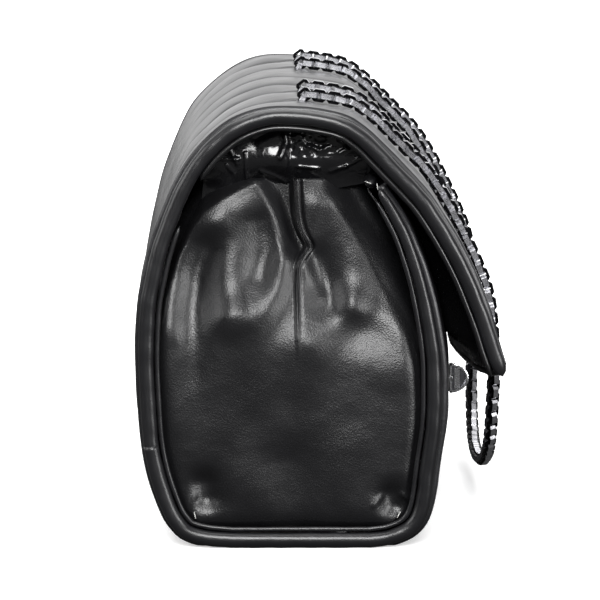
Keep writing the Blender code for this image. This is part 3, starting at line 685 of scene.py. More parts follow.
# Folds are laid out in those units, and their heights are in millimetres.
pleat_down = [183, 205, 222, 232, 240, 246, 251, 256, 262, 270, 290, 320, 400, 530]
pleat_across = [296, 297, 298.5, 301, 304.5, 308, 309.5, 306.5, 301.5, 298, 297, 297.5, 300, 300]
valley_down = [183, 240, 256, 266, 280, 305, 335, 360]
valley_depth = [6.2, 6.0, 5.0, 3.0, 2.0, 1.3, 0.6, 0.0]
left_edge_down = [183, 200, 220, 245, 260, 275, 295, 320, 345]
left_edge = [258, 268, 276, 283, 287, 284, 279, 268, 262]
right_edge_down = [183, 215, 240, 262, 290, 315, 340, 380, 420, 530]
right_edge = [326, 344, 361, 374, 389, 401, 408, 412, 414, 414]
gusset_folds = [
    ([(166, 325), (170, 298), (178, 264), (191, 242), (208, 226), (228, 216), (246, 212)], 15, 1.2),
    ([(219, 232), (226, 256), (231, 280), (232, 300), (231, 314)], 22, 2.6),
    ([(236, 316), (252, 318), (266, 308), (277, 292), (287, 268)], 19, 2.2),
    ([(262, 226), (267, 252), (260, 278)], 14, -1.5),
    ([(315, 208), (311, 224), (310, 238)], 11, 0.8),
    ([(330, 212), (342, 236), (351, 262), (354, 284), (349, 304)], 22, 2.4),
    ([(346, 312), (332, 332), (314, 344)], 18, 1.5),
    ([(356, 302), (378, 316), (404, 332)], 17, 1.3),
    ([(317, 264), (324, 286), (333, 306)], 13, -2.0),
    ([(304, 262), (312, 281), (321, 300)], 8, 0.8),
    ([(205, 488), (207, 500)], 15, -4.2),
    ([(391, 500), (394, 508)], 14, -4.0),
    ([(291, 468), (296, 520)], 24, -1.8),
    ([(245, 478), (262, 505)], 22, 1.0),
    ([(345, 455), (352, 500)], 24, 1.2),
    ([(194, 500), (186, 512)], 4, 0.6),
    ([(402, 498), (414, 506)], 3, 0.7),
    ([(382, 500), (374, 508)], 3, 0.6),
]
pull_places = np.linspace(-40, 200, 241)
pull_slopes = np.interp(pull_places, [-30, -14, 4, 24, 48, 74, 100, 155],
                        [0.0, 0.03, 0.11, 0.135, 0.11, 0.055, 0.026, 0.012])
pull_depths = np.cumsum(pull_slopes)


def gusset_heights(across, down, from_edge):
    """Outward height in millimetres: cushions, centre pleat, tucked corners and small puckers."""
    pleat = soft_path(down, pleat_down, pleat_across, 1.6)
    valley = soft_path(down, valley_down, valley_depth, 4.0)
    left_side = soft_path(down, left_edge_down, left_edge, 4.0)
    right_side = soft_path(down, right_edge_down, right_edge, 6.0)
    pull_start = 334 + 22 * eased((across - 280) / 80)
    value = -np.interp(pull_start - down, pull_places, pull_depths)
    low = np.maximum(470 - down, 0)
    value -= 0.018 * low ** 2 / (low + 60) * eased((across - 292) / 50)
    off = across - pleat
    into_valley = eased((across - left_side + 6) / 22)
    lip = np.where(off < 0, np.clip(-off / (3.0 + 0.6 * valley), 0, 1), 0.0)
    value -= valley * into_valley * np.where(off < 0, lip ** 0.7, 0.0)
    closing = np.clip(valley / 6, 0, 1)
    value += np.where(off >= 0, -1.5 * closing * np.exp(-((off - 4.0) / 2.2) ** 2), 0.0)
    value += (0.9 * closing + 0.25 * (down < 340)) * np.exp(-(off / 1.6) ** 2)
    for path, spread, amount in gusset_folds:
        value += stroke(across, down, path, spread, amount)
    side_valley = stroke(across, down, [(194, 450), (193, 350), (194, 312), (197, 278), (206, 252)], 18, -3.2)
    value += side_valley * eased((440 - down) / 130)
    beyond = across - right_side
    value -= np.interp(down, [183, 240, 300, 340, 400], [4.6, 4.4, 3.0, 1.6, 0.8]) * eased((beyond + 10) / 32)
    value += np.interp(down, [183, 250, 300], [0.030, 0.02, 0.0]) * np.maximum(beyond, 0)
    arch = np.interp(across, [160, 166, 178, 190, 203, 222, 240, 258], [340, 300, 260, 236, 214, 201, 192, 184])
    value -= 6.5 * eased((arch + 3 - down) / 15) * eased((270 - across) / 14)
    value -= 5.0 * np.exp(-(from_edge / 8.0) ** 1.2)
    value += drifting(across, down, 32, 0.35, 3.1) + drifting(across, down, 10, 0.07, 8.4)
    return value


gusset_columns, gusset_rows = 186, 170
gusset_y = np.zeros((gusset_columns, gusset_rows))
gusset_z = np.zeros_like(gusset_y)
gusset_from_edge = np.zeros_like(gusset_y)
u = np.linspace(-1, 1, gusset_columns)
for j in range(gusset_rows):
    z = gusset_low + (gusset_top - gusset_low) * (j / (gusset_rows - 1)) ** 1.15
    front_y, back_y = limits_at(z, gusset_ring)
    back_y = min(back_y, 0.0365 + max(0.0, (0.141 - z)) * 0.55)
    pleat = float(soft_path(units_at(0, z)[1], pleat_down, pleat_across, 1.6))
    pleat_y = (units_to_middle - pleat) / units_per_metre
    gusset_y[:, j] = pleat_y + (np.where(u < 0, front_y, back_y) - pleat_y) * np.abs(u) ** 1.35
    gusset_z[:, j] = z
    gusset_from_edge[:, j] = np.minimum(np.minimum(gusset_y[:, j] - front_y, back_y - gusset_y[:, j]),
                                        z - gusset_low) * units_per_metre
gusset_x = gusset_heights(*units_at(gusset_y, gusset_z), np.maximum(gusset_from_edge, 0.0))
gusset_x = 1.9 - 0.9 * np.logaddexp(0, (1.9 - gusset_x) / 0.9)  # the fullest places flatten below 1.9 mm
gusset_x = half_width - 0.0026 + gusset_x / 1000


def end_sheet(sign, xs, ys, zs):
    """A sheet over one end from tables of its places, mirrored for the other end."""
    shape, _ = lofted(*xs.shape, lambda i, j: Vector((sign * xs[i, j], ys[i, j], zs[i, j])))
    face_outward(shape, lambda face: face.normal.x * sign)
    return shape


for side, sign in ends:
    shape = end_sheet(sign, gusset_x, gusset_y, gusset_z)
    gusset = finished("leather_gusset_" + side, shape, gusset_leather, "bag",
                      ["gusset_" + side])
    thicken(gusset, gusset_wall)

# Tacks: a few ends of undyed thread, tied off where the piping stops and at the lower corners of the
# gussets. They are pale and matt against the black leather.
tack_reach = 0.0016
tack_radius = 0.00020
pale_thread, tree, shader, place = new_material("undyed_tack_thread")
twist = node(tree, "TexNoise", {"Vector": place, "Scale": 2.5 * per_mm})
tint = node(tree, "Mix", {
    "Factor": twist.outputs["Fac"], 6: linear("#8c8c8a"), 7: linear("#d8d8d4")}, data_type="RGBA")
fit(tree, shader, {"Base Color": tint.outputs[2], "Roughness": 0.7})
for side, sign in ends:
    tacks = bmesh.new()
    for across, down, lean in ((195, 518, 0.2), (399, 518, -0.5), (368, 183, 1.2), (377, 187, 0.2)):
        y, z = (units_to_middle - across) / units_per_metre, (units_to_floor - down) / units_per_metre
        centre = Vector((sign * piping_x, y, z))
        reach = Vector((0, math.sin(lean), math.cos(lean))) * tack_reach
        add_stitch(tacks, centre - reach, centre + reach, Vector((sign, 0, 0)), tack_radius)
    finished("tack_threads_" + side, tacks, pale_thread, "bag")

# Lining of the ends: thin coated fabric that stands up above the gussets and creases sharply where
# the full bag pushes it against the fold. Polyurethane-coated, it is glossy between the creases.
lining_fabric, tree, shader, place = new_material("coated_lining_fabric")
clouds = node(tree, "TexNoise", {"Vector": place, "Scale": 0.06 * per_mm, "Detail": 3.0})
ripple = node(tree, "TexNoise", {"Vector": place, "Scale": 0.21 * per_mm, "Detail": 2.0, "Distortion": 1.2})
tint = node(tree, "Mix", {
    "Factor": clouds.outputs["Fac"], 6: linear("#070708"), 7: linear("#131315")}, data_type="RGBA")
bump = node(tree, "Bump", {"Height": ripple.outputs["Fac"], "Distance": 0.0006, "Strength": 0.35})
fit(tree, shader, {"Base Color": tint.outputs[2], "Normal": bump.outputs["Normal"], "Roughness": 0.21,
                   "Specular IOR Level": 0.62})
arch_points, arch_outward = frame_at(flap_end_line, even_rows(flap_end_line, 160, 1.6, 11.6))
arch = arch_points - arch_outward * 0.0080
crease_strokes = [
    ([(262, 175), (274, 180), (287, 187)], 2.2, 1.1),
    ([(299, 170), (309, 171), (319, 172)], 2.0, 1.0),
    ([(331, 175), (338, 172), (346, 170)], 2.0, 0.9),
    ([(346, 170), (364, 160)], 1.6, 0.7),
    ([(223, 162), (239, 162)], 2.2, 0.9),
    ([(230, 152), (238, 167)], 2.2, 0.8),
    ([(227, 168), (234, 176)], 2.0, 0.7),
    ([(246, 156), (247, 182)], 1.8, 0.8),
    ([(256, 137), (268, 130)], 3.0, 0.8),
    ([(283, 128), (287, 146), (281, 160)], 3.0, 1.3),
    ([(262, 146), (276, 140)], 4.0, 0.6),
    ([(296, 128), (301, 138), (305, 147), (318, 153)], 2.2, 1.2),
    ([(319, 134), (324, 143)], 2.2, 0.9),
    ([(293, 140), (300, 145)], 1.8, 0.7),
    ([(340, 156), (347, 152)], 2.0, 0.7),
]


def crease_heights(across, down):
    """The lining's own folds in millimetres: a smooth drape at the back, hard crumples over the middle."""
    milky = np.exp(-((across - 270) / 20) ** 4 - ((down - 142) / 22) ** 4)
    value = 0.10 * (down - 150) * milky
    value += 1.4 * eased((292 - across) / 6) * eased((across - 246) / 26) * eased((186 - down) / 18)
    crumpled = np.exp(-((across - 312) / 24) ** 4 - ((down - 144) / 15) ** 4)
    value += crumpled * (drifting(across, down, 6, 1.5, 5.2) - 0.05 * (down - 150))
    for path, spread, amount in crease_strokes:
        value += stroke(across, down, path, spread, amount)
    return value + drifting(across, down, 26, 1.3, 2.4) + drifting(across, down, 9, 0.16, 6.6)


film_wall = 0.0005
film_columns, film_rows = 160, 90
film_y = np.zeros((film_columns, film_rows))
film_z = np.zeros_like(film_y)
upward = np.linspace(0, 1, film_rows)
for i in range(film_columns):
    u = i / (film_columns - 1)
    k = u * (len(arch) - 1)
    low = int(min(k, len(arch) - 2))
    top_y, top_z = arch[low] + (arch[low + 1] - arch[low]) * (k - low)
    foot_y, foot_z = 0.036 - 0.066 * u, 0.129 + 0.0125 * u
    film_y[i] = foot_y + (top_y - foot_y) * upward
    film_z[i] = foot_z + (top_z - foot_z) * upward
film_lean = 20.0 - 7.0 * eased((film_z - 0.138) / 0.014)
film_x = half_width - (film_lean - crease_heights(*units_at(film_y, film_z))) / 1000
for side, sign in ends:
    shape = end_sheet(sign, film_x, film_y, film_z)
    end_lining = finished("end_lining_" + side, shape, lining_fabric, "bag", ["lining_" + side])
    thicken(end_lining, film_wall)

# Lining of the body: woven cloth inside the front, base and back, drawn loosely over the shell and
# sewn in along the mouth and the gussets.
lining_half = 0.1120
lining_inset = 0.0062
cloth_thickness = 0.0006

# Plain woven lining with a light sheen. Its threads are about 0.65 mm apart, coarser than real ones so
# that they show: a wave of scale 1 repeats every 0.314.
woven, tree, shader, place = new_material("woven_lining_fabric")
across = node(tree, "TexWave", {"Vector": place, "Scale": 0.48 * per_mm}, bands_direction="X")
up = node(tree, "TexWave", {"Vector": place, "Scale": 0.48 * per_mm}, bands_direction="Z")
weave = node(tree, "Math", {0: across.outputs["Fac"], 1: up.outputs["Fac"]}, operation="MULTIPLY")
clouds = node(tree, "TexNoise", {"Vector": place, "Scale": 0.04 * per_mm, "Detail": 4.0})
tint = node(tree, "Mix", {
    "Factor": clouds.outputs["Fac"], 6: linear("#0b0b0c"), 7: linear("#1a1a1c")}, data_type="RGBA")
bump = node(tree, "Bump", {"Height": weave.outputs["Value"], "Distance": 0.0001, "Strength": 0.5})
fit(tree, shader, {"Base Color": tint.outputs[2], "Normal": bump.outputs["Normal"], "Roughness": 0.5,
                   "Sheen Weight": 0.2})
for part, line, rows_count in (("front", front_line, 50), ("base", base_line, 30), ("back", back_line, 50)):
    rows = even_rows(line, rows_count)
    points, outward = frame_at(line, rows)

    def lining_place(i, j):
        x = -lining_half + 2 * lining_half * i / 59
        drop = lining_inset + softly(x, *points[j], 45, 0.0008)
        drop -= bulge_at(rows[j] / line.last, x) if line is front_line else 0.0
        return lifted(x, points[j], outward[j], -drop)
    shape, _ = lofted(60, rows_count, lining_place)
    bmesh.ops.recalc_face_normals(shape, faces=shape.faces)
    piece = finished("body_lining_" + part, shape, woven, "bag", ["lining_" + part])
    thicken(piece, cloth_thickness, 0.0)
    float(lengths_along(points)[-1])

# Slip pocket: a patch of the woven lining, sewn to the back on three sides. It is open at the top,
# where a strip of the edge leather binds it.
pocket_edge_radius = 0.0010
pocket_half = 0.075
pocket_inset = 0.0074
pocket_points, pocket_out = frame_at(back_line, even_rows(back_line, 40, 1.6, 11.0))


def pocket_place(i, j):
    u = i / 49
    x = -pocket_half + 2 * pocket_half * u
    bag = 0.0012 * math.sin(math.pi * u) * math.sin(math.pi * min(1.0, j / 39 + 0.15))
    return lifted(x, pocket_points[j], pocket_out[j], -(pocket_inset + bag))


shape, _ = lofted(50, 40, pocket_place)
pocket = finished("woven_slip_pocket", shape, woven, "bag", ["slip_pocket"])
thicken(pocket, cloth_thickness, 0.0)
edge_points = [pocket_place(i, 39) for i in range(50)]
shape = tube_along(edge_points, upright([pocket_out[-1]] * 50), 10, [pocket_edge_radius] * 50, 0.8)
finished("bound_pocket_edge", shape, edge_leather, "bag", ["slip_pocket_binding"])

# Mouth binding: a strip of the edge leather, rolled along the top edge of the front panel and sewn
# down over the raw edges of shell and lining.
mouth_radius = 0.0029
mouth_inset = 0.0031
mouth_rise = 0.0026
mouth_half = 0.1184
mouth_steps = 110
mouth_points, mouth_outs = frame_at(front_line, np.array([0.0]))
mouth_out = mouth_outs[0]
mouth_up = np.array([mouth_out[1], -mouth_out[0]])
mouth_centre = mouth_points[0] - mouth_out * mouth_inset + mouth_up * mouth_rise
mouth = [Vector((x, *mouth_centre)) for x in np.linspace(-mouth_half, mouth_half, mouth_steps)]
shape = tube_along(mouth, upright([mouth_out] * mouth_steps), 16, [mouth_radius] * mouth_steps, 0.95, 0.0002)
finished("rolled_mouth_edge", shape, edge_leather, "bag", ["mouth_binding"])

# Flap lining: smooth coated fabric under the quilting, with the same slits and slot, and its own
# thin piped edge inside each rolled edge.
smooth_lining = coated_leather(
    "coated_lining_smooth", "#0a0a0b", "#121213", 0.30, grain_mm=0.8, grain_depth=0.00003)
flap_lining_inset = 0.0052
flap_lining_wall = 0.0007
flap_cord_inset = 0.0072
flap_cord_radius = 0.0013
flap_cord_tip = 0.0022
lining_columns = np.linspace(-panel_edge, panel_edge, 90)
lining_rows = even_rows(flap_middle_line, 110)
lining_tables = [flap_frame(lining_rows, x) for x in lining_columns]


def sag_at(x, row, point, normal):
    """Extra inset where the lining hangs slack beside the lock, until it rests on the front panel."""
    lift = 0.7 * puff + np.array([bulge_at(r / front_line.last, x) for r in front_rows])
    front_z = (front_points[:, 1] + front_outward[:, 1] * lift)[::-1]
    front_y = (front_points[:, 0] + front_outward[:, 0] * lift)[::-1]
    gap = float(np.interp(point[1], front_z, front_y)) - (point[0] - normal[0] * flap_lining_inset)
    slack = float(eased((row - 12.6) / 2.6) * eased((21.95 - row) / 1.5))
    beside = float(eased((abs(x) - 0.016) / 0.026) * eased((0.118 - abs(x)) / 0.030))
    return slack * beside * min(max((gap - 0.0003) * abs(normal[0]), 0.0), 0.0125)


def flap_lining_place(i, j):
    x = lining_columns[i]
    point, normal = (table[j] for table in lining_tables[i])
    inset = flap_lining_inset + softly(x, *point, 50, 0.0004) + sag_at(x, lining_rows[j], point, normal)
    return lifted(x, point, normal, -inset)


def in_lining_slit(centre):
    """Whether a face lies in one of the four slits for the chain."""
    return (min(abs(centre.x - slit_x) for slit_x in slit_places) < 0.0034
            and abs(centre.y - slit_centre_y) < 0.007 and centre.z > 0.15)


shape, _ = lofted(90, 110, flap_lining_place)
centres = [(face, face.calc_center_median()) for face in shape.faces]
opened = [face for face, centre in centres if in_lining_slit(centre) or in_slot(centre)]
bmesh.ops.delete(shape, geom=opened, context="FACES")
flap_lining = finished("smooth_flap_lining", shape, smooth_lining, "flap", ["flap_lining"])
thicken(flap_lining, flap_lining_wall, 0.0)
points, normals, _ = end_outline([(flap_end_line, 1.5, flap_end_line.last)])
for side, sign in ends:
    centre = moved_in(points, normals, [flap_cord_inset] * len(points), sign * (half_width - 0.0031))
    centre.append(centre[-1] + (centre[-1] - centre[-2]).normalized() * flap_cord_tip)
    radii = [flap_cord_radius] * len(centre)
    cord = tube_along(centre, upright([*normals, normals[-1]]), 14, radii, 1.5, 0.00015)
    finished("flap_lining_piping_" + side, cord, smooth_lining, "flap", ["flap_piping_" + side])

# Front edge of the flap: the same rolled strip, from corner to corner, with a row of finer stitches
# beside it.
front_edge_radius = 0.0027
front_edge_inset = 0.0024
front_edge_reach = 0.0014
edge_stitch_pitch = 0.0034
edge_stitch_length = 0.0026
edge_thread_radius = 0.00024
seam_half = 0.1150
seam_row = 21.3
front_edge = []
edge_outs = []
edge_half = 0.1196
edge_steps = 120
for x in np.linspace(-edge_half, edge_half, edge_steps):
    points, normals = flap_frame([21.9, 22.0], x)
    along = (points[1] - points[0]) / np.linalg.norm(points[1] - points[0])
    centre = points[1] - normals[1] * front_edge_inset + along * front_edge_reach
    front_edge.append(Vector((x, *centre)))
    edge_outs.append(Vector((0, *normals[1])))
shape = tube_along(front_edge, edge_outs, 18, [front_edge_radius] * edge_steps, 0.95, 0.0002)
finished("rolled_edge_flap_front", shape, edge_leather, "flap", ["flap_front_binding"])
edge_stitches = bmesh.new()
seam = []
for x in np.linspace(-seam_half, seam_half, edge_steps):
    points, normals = flap_frame([seam_row], x)
    seam.append(lifted(x, points[0], normals[0], quilt_height(x) + 0.00012))
stitch_row(edge_stitches, seam, edge_outs, edge_stitch_pitch, edge_stitch_length, edge_thread_radius)
finished("flap_front_stitching", edge_stitches, thread, "flap")

# Chain strap: square box links folded from plated strip. Each link is open on two sides and turned a
# quarter from its neighbours, and its ends pass through their openings.
chain_size = 0.0050
link_pitch = 0.00295
link_length = 0.00530
link_strip = 0.0027
link_wall = 0.0012
link_rim = 0.00028
chain_lift = chain_size / 2 + 0.0003 + 0.0009


def plating(name, dark, light, roughness):
    """Plating on tumbled metal: bright on the faces, with fine scratches and darker smears."""
    made, tree, shader, place = new_material(name)
    smears = node(tree, "TexNoise", {"Vector": place, "Scale": 0.42 * per_mm, "Detail": 4.0})
    scratches = node(tree, "TexNoise", {
        "Vector": place, "Scale": 2.4 * per_mm, "Detail": 2.0, "Distortion": 2.0})
    tint = node(tree, "Mix", {
        "Factor": smears.outputs["Fac"], 6: linear(dark), 7: linear(light)}, data_type="RGBA")
    rough = node(tree, "MapRange", {
        "Value": scratches.outputs["Fac"], "From Min": 0.3, "From Max": 0.7,
        "To Min": roughness - 0.06, "To Max": roughness + 0.12})
    bump = node(tree, "Bump", {
        "Height": scratches.outputs["Fac"], "Distance": 0.000004, "Strength": 0.5})
    fit(tree, shader, {"Base Color": tint.outputs[2], "Roughness": rough.outputs["Result"],
                       "Normal": bump.outputs["Normal"], "Metallic": 1.0})
    return made


plated_face = plating("gunmetal_plating", "#a0a0a4", "#c6c6ca", 0.26)
# Painted shade: a near-black copy of the plating for the holes and side edges of the links, standing in for the
# shade between links.
painted_shade_plating = plating("gunmetal_plating_painted_shade", "#080809", "#141416", 0.50)


def bevelled(shape, edges, offset, segments=1):
    bmesh.ops.bevel(shape, geom=edges, offset=offset, offset_type="OFFSET", segments=segments, profile=0.5,
                    affect="EDGES", material=-1)


def edges_of(faces):
    return [edge for face in faces for edge in face.edges]


def box_link():
    """One link at the origin: its hole faces Y, its length lies along Z."""
    shape = bmesh.new()

    def facing_y(least):
        return [face for face in shape.faces if abs(face.normal.y) > least]
    bmesh.ops.create_cube(shape, size=1.0)
    bmesh.ops.scale(shape, vec=(chain_size, link_strip, link_length), verts=shape.verts)
    corners = [e for e in shape.edges if abs((e.verts[0].co - e.verts[1].co).normalized().y) > 0.9]
    bevelled(shape, corners, 0.0009)
    bevelled(shape, edges_of(facing_y(0.9)), link_rim)
    sides = facing_y(0.99)
    bmesh.ops.inset_region(shape, faces=sides, thickness=link_wall - link_rim, use_even_offset=True)
    hole = bmesh.ops.bridge_loops(shape, edges=edges_of(sides))["faces"]
    bmesh.ops.delete(shape, geom=sides, context="FACES")
    # The hole walls and side edges of the link get the painted-shade plating.
    for face in hole + facing_y(0.45):
        face.material_index = 1
    bmesh.ops.recalc_face_normals(shape, faces=shape.faces)
    mesh = bpy.data.meshes.new("box_link")
    shape.to_mesh(mesh)
    shape.free()
    return mesh


link_mesh = box_link()


def link_chain(name, points, normals, body, chain_node):
    """Links placed one pitch apart along a path; normals give the flat side."""
    table, normal_table = table_of(points), table_of(normals)
    lengths = lengths_along(table)
    count = round(lengths[-1] / link_pitch)
    pitch = lengths[-1] / count
    shape = bmesh.new()
    for k in range(count):
        middle = (k + 0.5) * pitch
        before, after = (sample(middle + away * pitch, lengths, table) for away in (-0.6, 0.6))
        along = (after - before).normalized()
        side = along.cross(sample(middle, lengths, normal_table)).normalized()
        up = side.cross(along).normalized()
        first, second = (side, up) if k % 2 == 0 else (up, -side)
        sway = 0.05 * math.sin(k * 1.7) + 0.03 * math.sin(k * 0.61 + 1)
        tilt = Matrix.Rotation(sway, 4, "Z") @ Matrix.Rotation(0.05 * math.sin(k * 2.3), 4, "X")
        turn = Matrix((first, second, along)).transposed().to_4x4()
        place = Matrix.Translation(sample(middle, lengths, table)) @ turn @ tilt
        start = len(shape.verts)
        shape.from_mesh(link_mesh)
        shape.verts.ensure_lookup_table()
        bmesh.ops.transform(shape, matrix=place, verts=shape.verts[start:])
    chain = finished(name, shape, plated_face, body, [chain_node], smooth=False)
    chain.data.materials.append(painted_shade_plating)


def flap_place(row, x, lift):
    """A place above the flap and its outward direction."""
    points, normals = flap_frame([row], x)
    return lifted(x, points[0], normals[0], lift), Vector((0, *normals[0]))


slit_pivot_y = -0.0054
slit_pivot_z = 0.174662
slit_surface_z = 0.994 * height


def run_path(x, last_row):
    """Path of a length of chain out of its slit and down the flap, with its outward directions."""
    points = [Vector((x, slit_pivot_y + 0.0026, slit_surface_z - 0.0006)),
              Vector((x, slit_pivot_y, slit_pivot_z))]
    normals = [Vector((0, 0.7, 0.7)), Vector((0, 0.25, 0.97))]
    for row in np.arange(7.0, last_row + 0.01, 0.5):
        point, out = flap_place(row, x, chain_lift)
        points.append(point)
        normals.append(out)
    return points, normals


outer_x = half_width - channel
inner_x = half_width - 2 * channel
for side, sign in ends:
    points, normals = run_path(sign * outer_x, 22.0)
    link_chain("links_outer_run_" + side, points, normals, "outer_runs", "chain_outer_run_" + side)

# Hanging end of the long loop: the same links, free of the flap, with the uneven sag that they were
# left in. It hangs from the ends of the two long runs.
hang_shares = [
    (-1.000, 1.000), (-0.982, 0.870), (-0.940, 0.690), (-0.880, 0.520), (-0.760, 0.365), (-0.550, 0.250),
    (-0.285, 0.160), (0.000, 0.100), (0.275, 0.072), (0.530, 0.085), (0.730, 0.170), (0.860, 0.310),
    (0.945, 0.490), (0.986, 0.710), (1.000, 1.000),
]
hang_bottom = 0.0085
hang_top, _ = flap_place(22.0, outer_x, chain_lift)
hang_y = hang_top.y - 0.0003
hang_line = spline(hang_shares)
hang_fine = hang_line(np.linspace(0, hang_line.last, 90)) / (depth, height)
hang_height = hang_top.z - 0.0006 - hang_bottom
hang_points = [Vector((a * outer_x, hang_y + 0.0015 * (1 - b), hang_bottom + hang_height * b))
               for a, b in hang_fine]
hang_turns = [math.radians(23 + 20 * (a + 1) / 2 + 5 * math.sin(a * 5)) for a, b in hang_fine]
hang_normals = [Vector((math.sin(turn), -math.cos(turn), 0)) for turn in hang_turns]
link_chain("links_hanging_end", hang_points, hang_normals, "outer_drop", "chain_outer_drop")

# Inner loop: the same links. It lies wholly on the flap, out of one middle slit, round short of the
# lock, and back in at the other.
turn_row = 15.0
turn_steps = 36
points, normals = run_path(-inner_x, turn_row)
for step in range(1, turn_steps):
    angle = math.pi * step / turn_steps
    row = turn_row + 2.6 * math.sin(angle) ** 0.7
    lift = chain_lift + puff * min(1.0, math.sin(angle) * 2)
    point, out = flap_place(row, -inner_x * math.cos(angle), lift)
    points.append(point)
    normals.append(out)
right_points, right_normals = run_path(inner_x, turn_row)
link_chain("links_inner_loop", points + right_points[::-1], normals + right_normals[::-1], "inner_loop",
           "chain_inner_loop")

# Short lengths of the same chain under the flap. Each goes down through an outer slit and up through
# the inner one beside it, and so joins the two loops.
bight_radius = 0.0032
bight_z = slit_surface_z - 0.0070 - chain_size / 2
bight_top = slit_surface_z - 0.0003
for side, sign in ends:
    points = [Vector((sign * outer_x, slit_centre_y, bight_top))]
    for centre_x, first in ((outer_x - bight_radius, 0), (inner_x + bight_radius, 90)):
        for degrees in range(first, first + 91, 15):
            angle = math.radians(degrees)
            points.append(Vector((sign * (centre_x + math.cos(angle) * bight_radius), slit_centre_y,
                                  bight_z + (1 - math.sin(angle)) * bight_radius)))
    points.append(Vector((sign * inner_x, slit_centre_y, bight_top)))
    link_chain("chain_under_flap_" + side, points, [Vector((0, 1, 0))] * len(points), "flap",
               "chain_bight_" + side)

# Turn lock: a base plate and a half-moon thumb-turn with a raised rim, die-cast in zinc and nickel
# plated. A washer plate behind the front panel holds it, and a backing holds the flap's slotted plate.
lock_plating = plating("nickel_plated_zinc", "#c8c8ca", "#e4e4e6", 0.20)
# Painted shade: a darker copy of the nickel plating for the thumb-turn's sunken cheeks.
lock_shadow = plating("nickel_plated_zinc_painted_shade", "#5c5c60", "#88888c", 0.30)
for name in ("lock_base_plate", "lock_washer_plate", "flap_slot_plate", "flap_slot_backing"):
    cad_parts[name].material_slots[0].material = lock_plating
lock_z = 0.048
knob_back = -0.06618
knob_radius = 0.0062
knob_reach = 0.0078
knob_half = 0.0015
shape = bmesh.new()
bmesh.ops.create_circle(shape, cap_ends=True, segments=48, radius=knob_radius)
bmesh.ops.bisect_plane(shape, geom=shape.verts[:] + shape.edges[:] + shape.faces[:], plane_co=(0, 0, 0),
                       plane_no=(-1, 0, 0), clear_outer=True)
grown = bmesh.ops.extrude_face_region(shape, geom=shape.faces[:])["geom"]
grown = [each for each in grown if isinstance(each, bmesh.types.BMVert)]
bmesh.ops.translate(shape, verts=grown, vec=(0, 0, 2 * knob_half))
bmesh.ops.translate(shape, verts=shape.verts, vec=(0, 0, -knob_half))
bmesh.ops.scale(shape, vec=(knob_reach / knob_radius, 1, 1), verts=shape.verts)
bmesh.ops.recalc_face_normals(shape, faces=shape.faces)
bevelled(shape, edges_of([face for face in shape.faces if abs(face.normal.z) > 0.9]), 0.0003, 2)
cheeks = [face for face in shape.faces if abs(face.normal.z) > 0.99]
for rim_width in (0.0008, 0.00025):
    bmesh.ops.inset_individual(shape, faces=cheeks, thickness=rim_width)
# The sunken cheeks get the painted-shade plating.
for face in cheeks:
    bmesh.ops.translate(shape, verts=face.verts[:], vec=face.normal * -0.0007)
    face.material_index = 1
bar = Matrix.Diagonal((0.0022, 0.0086, 0.0005, 1))
for up in (-1, 1):
    bar_place = Matrix.Translation((0.0030, 0, up * (knob_half - 0.0006)))
    bmesh.ops.create_cube(shape, size=1.0, matrix=bar_place @ bar)
stem_place = Matrix.Translation((0.0001, 0, 0)) @ Matrix.Rotation(math.pi / 2, 4, "Y")
bmesh.ops.create_cone(shape, cap_ends=True, segments=24, radius1=0.0019, radius2=0.0019, depth=0.0026,
                      matrix=stem_place)
stand = Matrix(((0, 0, 1, 0), (-1, 0, 0, 0), (0, 1, 0, 0), (0, 0, 0, 1)))
bmesh.ops.transform(shape, matrix=Matrix.Translation((0, knob_back, lock_z)) @ stand, verts=shape.verts)
bmesh.ops.recalc_face_normals(shape, faces=shape.faces)
thumb_turn = finished("lock_thumb_turn", shape, lock_plating, "thumb_turn", ["lock_knob"],
                      smooth=False)
thumb_turn.data.materials.append(lock_shadow)

# Base board: pressed board that keeps the bottom flat, laid in under the lining. Its fibres make it a
# matt, faintly mottled grey.
board, tree, shader, place = new_material("pressed_grey_board")
fibres = node(tree, "TexNoise", {"Vector": place, "Scale": 0.7 * per_mm, "Detail": 5.0})
tint = node(tree, "Mix", {
    "Factor": fibres.outputs["Fac"], 6: linear("#77746c"), 7: linear("#9b978d")}, data_type="RGBA")
fit(tree, shader, {"Base Color": tint.outputs[2], "Roughness": 0.85})
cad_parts["base_board"].material_slots[0].material = board

# Studio: a floor of matt white paper, soft light from above and from both sides, and a long lens at
# the end of the bag. The camera sees floor and sky white. The bag reflects a dark floor, and a sky
# that is bright only beyond its far end.
floor_shape = bmesh.new()
bmesh.ops.create_grid(floor_shape, x_segments=2, y_segments=2, size=12.0)
floor_mesh = bpy.data.meshes.new("studio_floor")
floor_shape.to_mesh(floor_mesh)
floor_shape.free()
floor = bpy.data.objects.new("studio_floor", floor_mesh)
bpy.context.scene.collection.objects.link(floor)

# Matt white paper. What it shows the camera is white, and brighter further out; in reflections and
# for the bag's underside it is nearly black.
floor_paint, tree, shader, place = new_material("matt_white_paper")
fit(tree, shader, {"Base Color": (0.80, 0.80, 0.80, 1), "Roughness": 0.9, "Specular IOR Level": 0.0})
dim_floor = node(tree, "BsdfDiffuse", {"Color": (0.06, 0.06, 0.06, 1)})
paths = node(tree, "LightPath")
away = node(tree, "VectorMath", {0: place}, operation="LENGTH")
fill = node(tree, "MapRange", {
    "Value": away.outputs["Value"], "From Min": 0.10, "From Max": 0.9, "To Min": 0.42, "To Max": 1.1})
glow = node(tree, "Emission", {"Color": (1, 1, 1, 1), "Strength": fill.outputs["Result"]})
together = node(tree, "AddShader", {0: shader.outputs["BSDF"], 1: glow.outputs["Emission"]})
seen = node(tree, "MixShader", {
    0: paths.outputs["Is Camera Ray"], 1: dim_floor.outputs["BSDF"], 2: together.outputs[0]})
fit(tree, tree.nodes["Material Output"], {"Surface": seen.outputs[0]})
floor_mesh.materials.append(floor_paint)

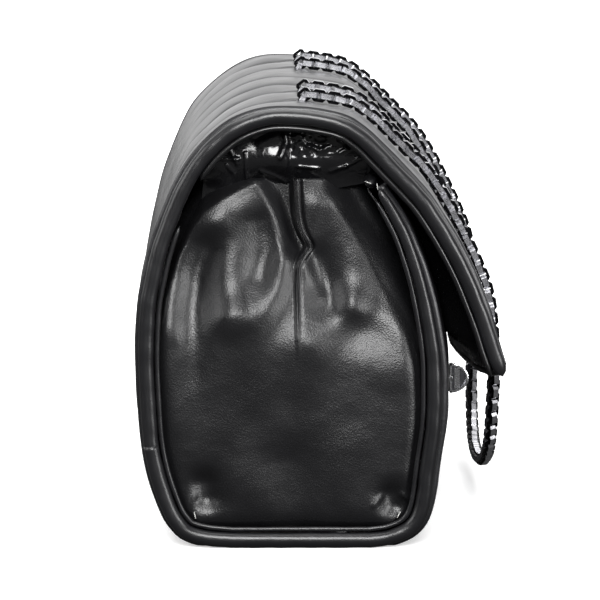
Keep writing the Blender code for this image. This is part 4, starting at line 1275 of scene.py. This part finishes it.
world = bpy.data.worlds.new("studio")
bpy.context.scene.world = world
world.use_nodes = True
sky = world.node_tree
directions = node(sky, "TexCoord").outputs["Generated"]
parts_of = node(sky, "SeparateXYZ", {"Vector": directions})
behind = node(sky, "MapRange", {
    "Value": parts_of.outputs["X"], "From Min": 0.1, "From Max": 0.9, "To Min": 0.0, "To Max": 1.5})
above = node(sky, "MapRange", {
    "Value": parts_of.outputs["Z"], "From Min": 0.1, "From Max": 0.9, "To Min": 0.02, "To Max": 0.30})
shade = node(sky, "Math", {0: behind.outputs["Result"], 1: above.outputs["Result"]}, operation="ADD")
paths = node(sky, "LightPath")
level = node(sky, "Mix", {0: paths.outputs["Is Camera Ray"], 2: shade.outputs["Value"], 3: 1.0})
fit(sky, sky.nodes["Background"], {"Color": (1, 1, 1, 1), "Strength": level.outputs[0]})


def softbox(name, place, target, size, power):
    """A rectangular lamp that faces its target."""
    lamp = bpy.data.lights.new(name, "AREA")
    lamp.shape = "RECTANGLE"
    lamp.size, lamp.size_y = size
    lamp.energy = power
    holder = bpy.data.objects.new(name, lamp)
    holder.location = place
    holder.rotation_euler = (Vector(target) - Vector(place)).to_track_quat("-Z", "Y").to_euler()
    bpy.context.scene.collection.objects.link(holder)


softbox("overhead", (0.2, 0.0, 1.6), (0, 0, 0.1), (1.4, 1.4), 26)
softbox("above_camera", (-1.9, 0.0, 1.18), (-0.1, 0, 0.1), (1.1, 0.8), 64)
softbox("left_side", (-0.5, 1.3, 0.7), (0, 0, 0.1), (0.8, 0.8), 10)
softbox("right_side", (-1.15, -1.3, 0.40), (0, 0, 0.1), (0.5, 0.8), 20)

camera_data = bpy.data.cameras.new("end_view")
camera_data.lens = 279.9677
camera_data.clip_end = 50
camera = bpy.data.objects.new("end_view", camera_data)
camera.location = (-1.91152741, 0.0159873649, 0.345185788)
aim = Vector((-0.0790977, -0.00327158, 0.09155132))
camera.rotation_euler = (aim - camera.location).to_track_quat("-Z", "Y").to_euler()
bpy.context.scene.collection.objects.link(camera)
bpy.context.scene.camera = camera
bpy.context.scene.view_settings.view_transform = "Standard"
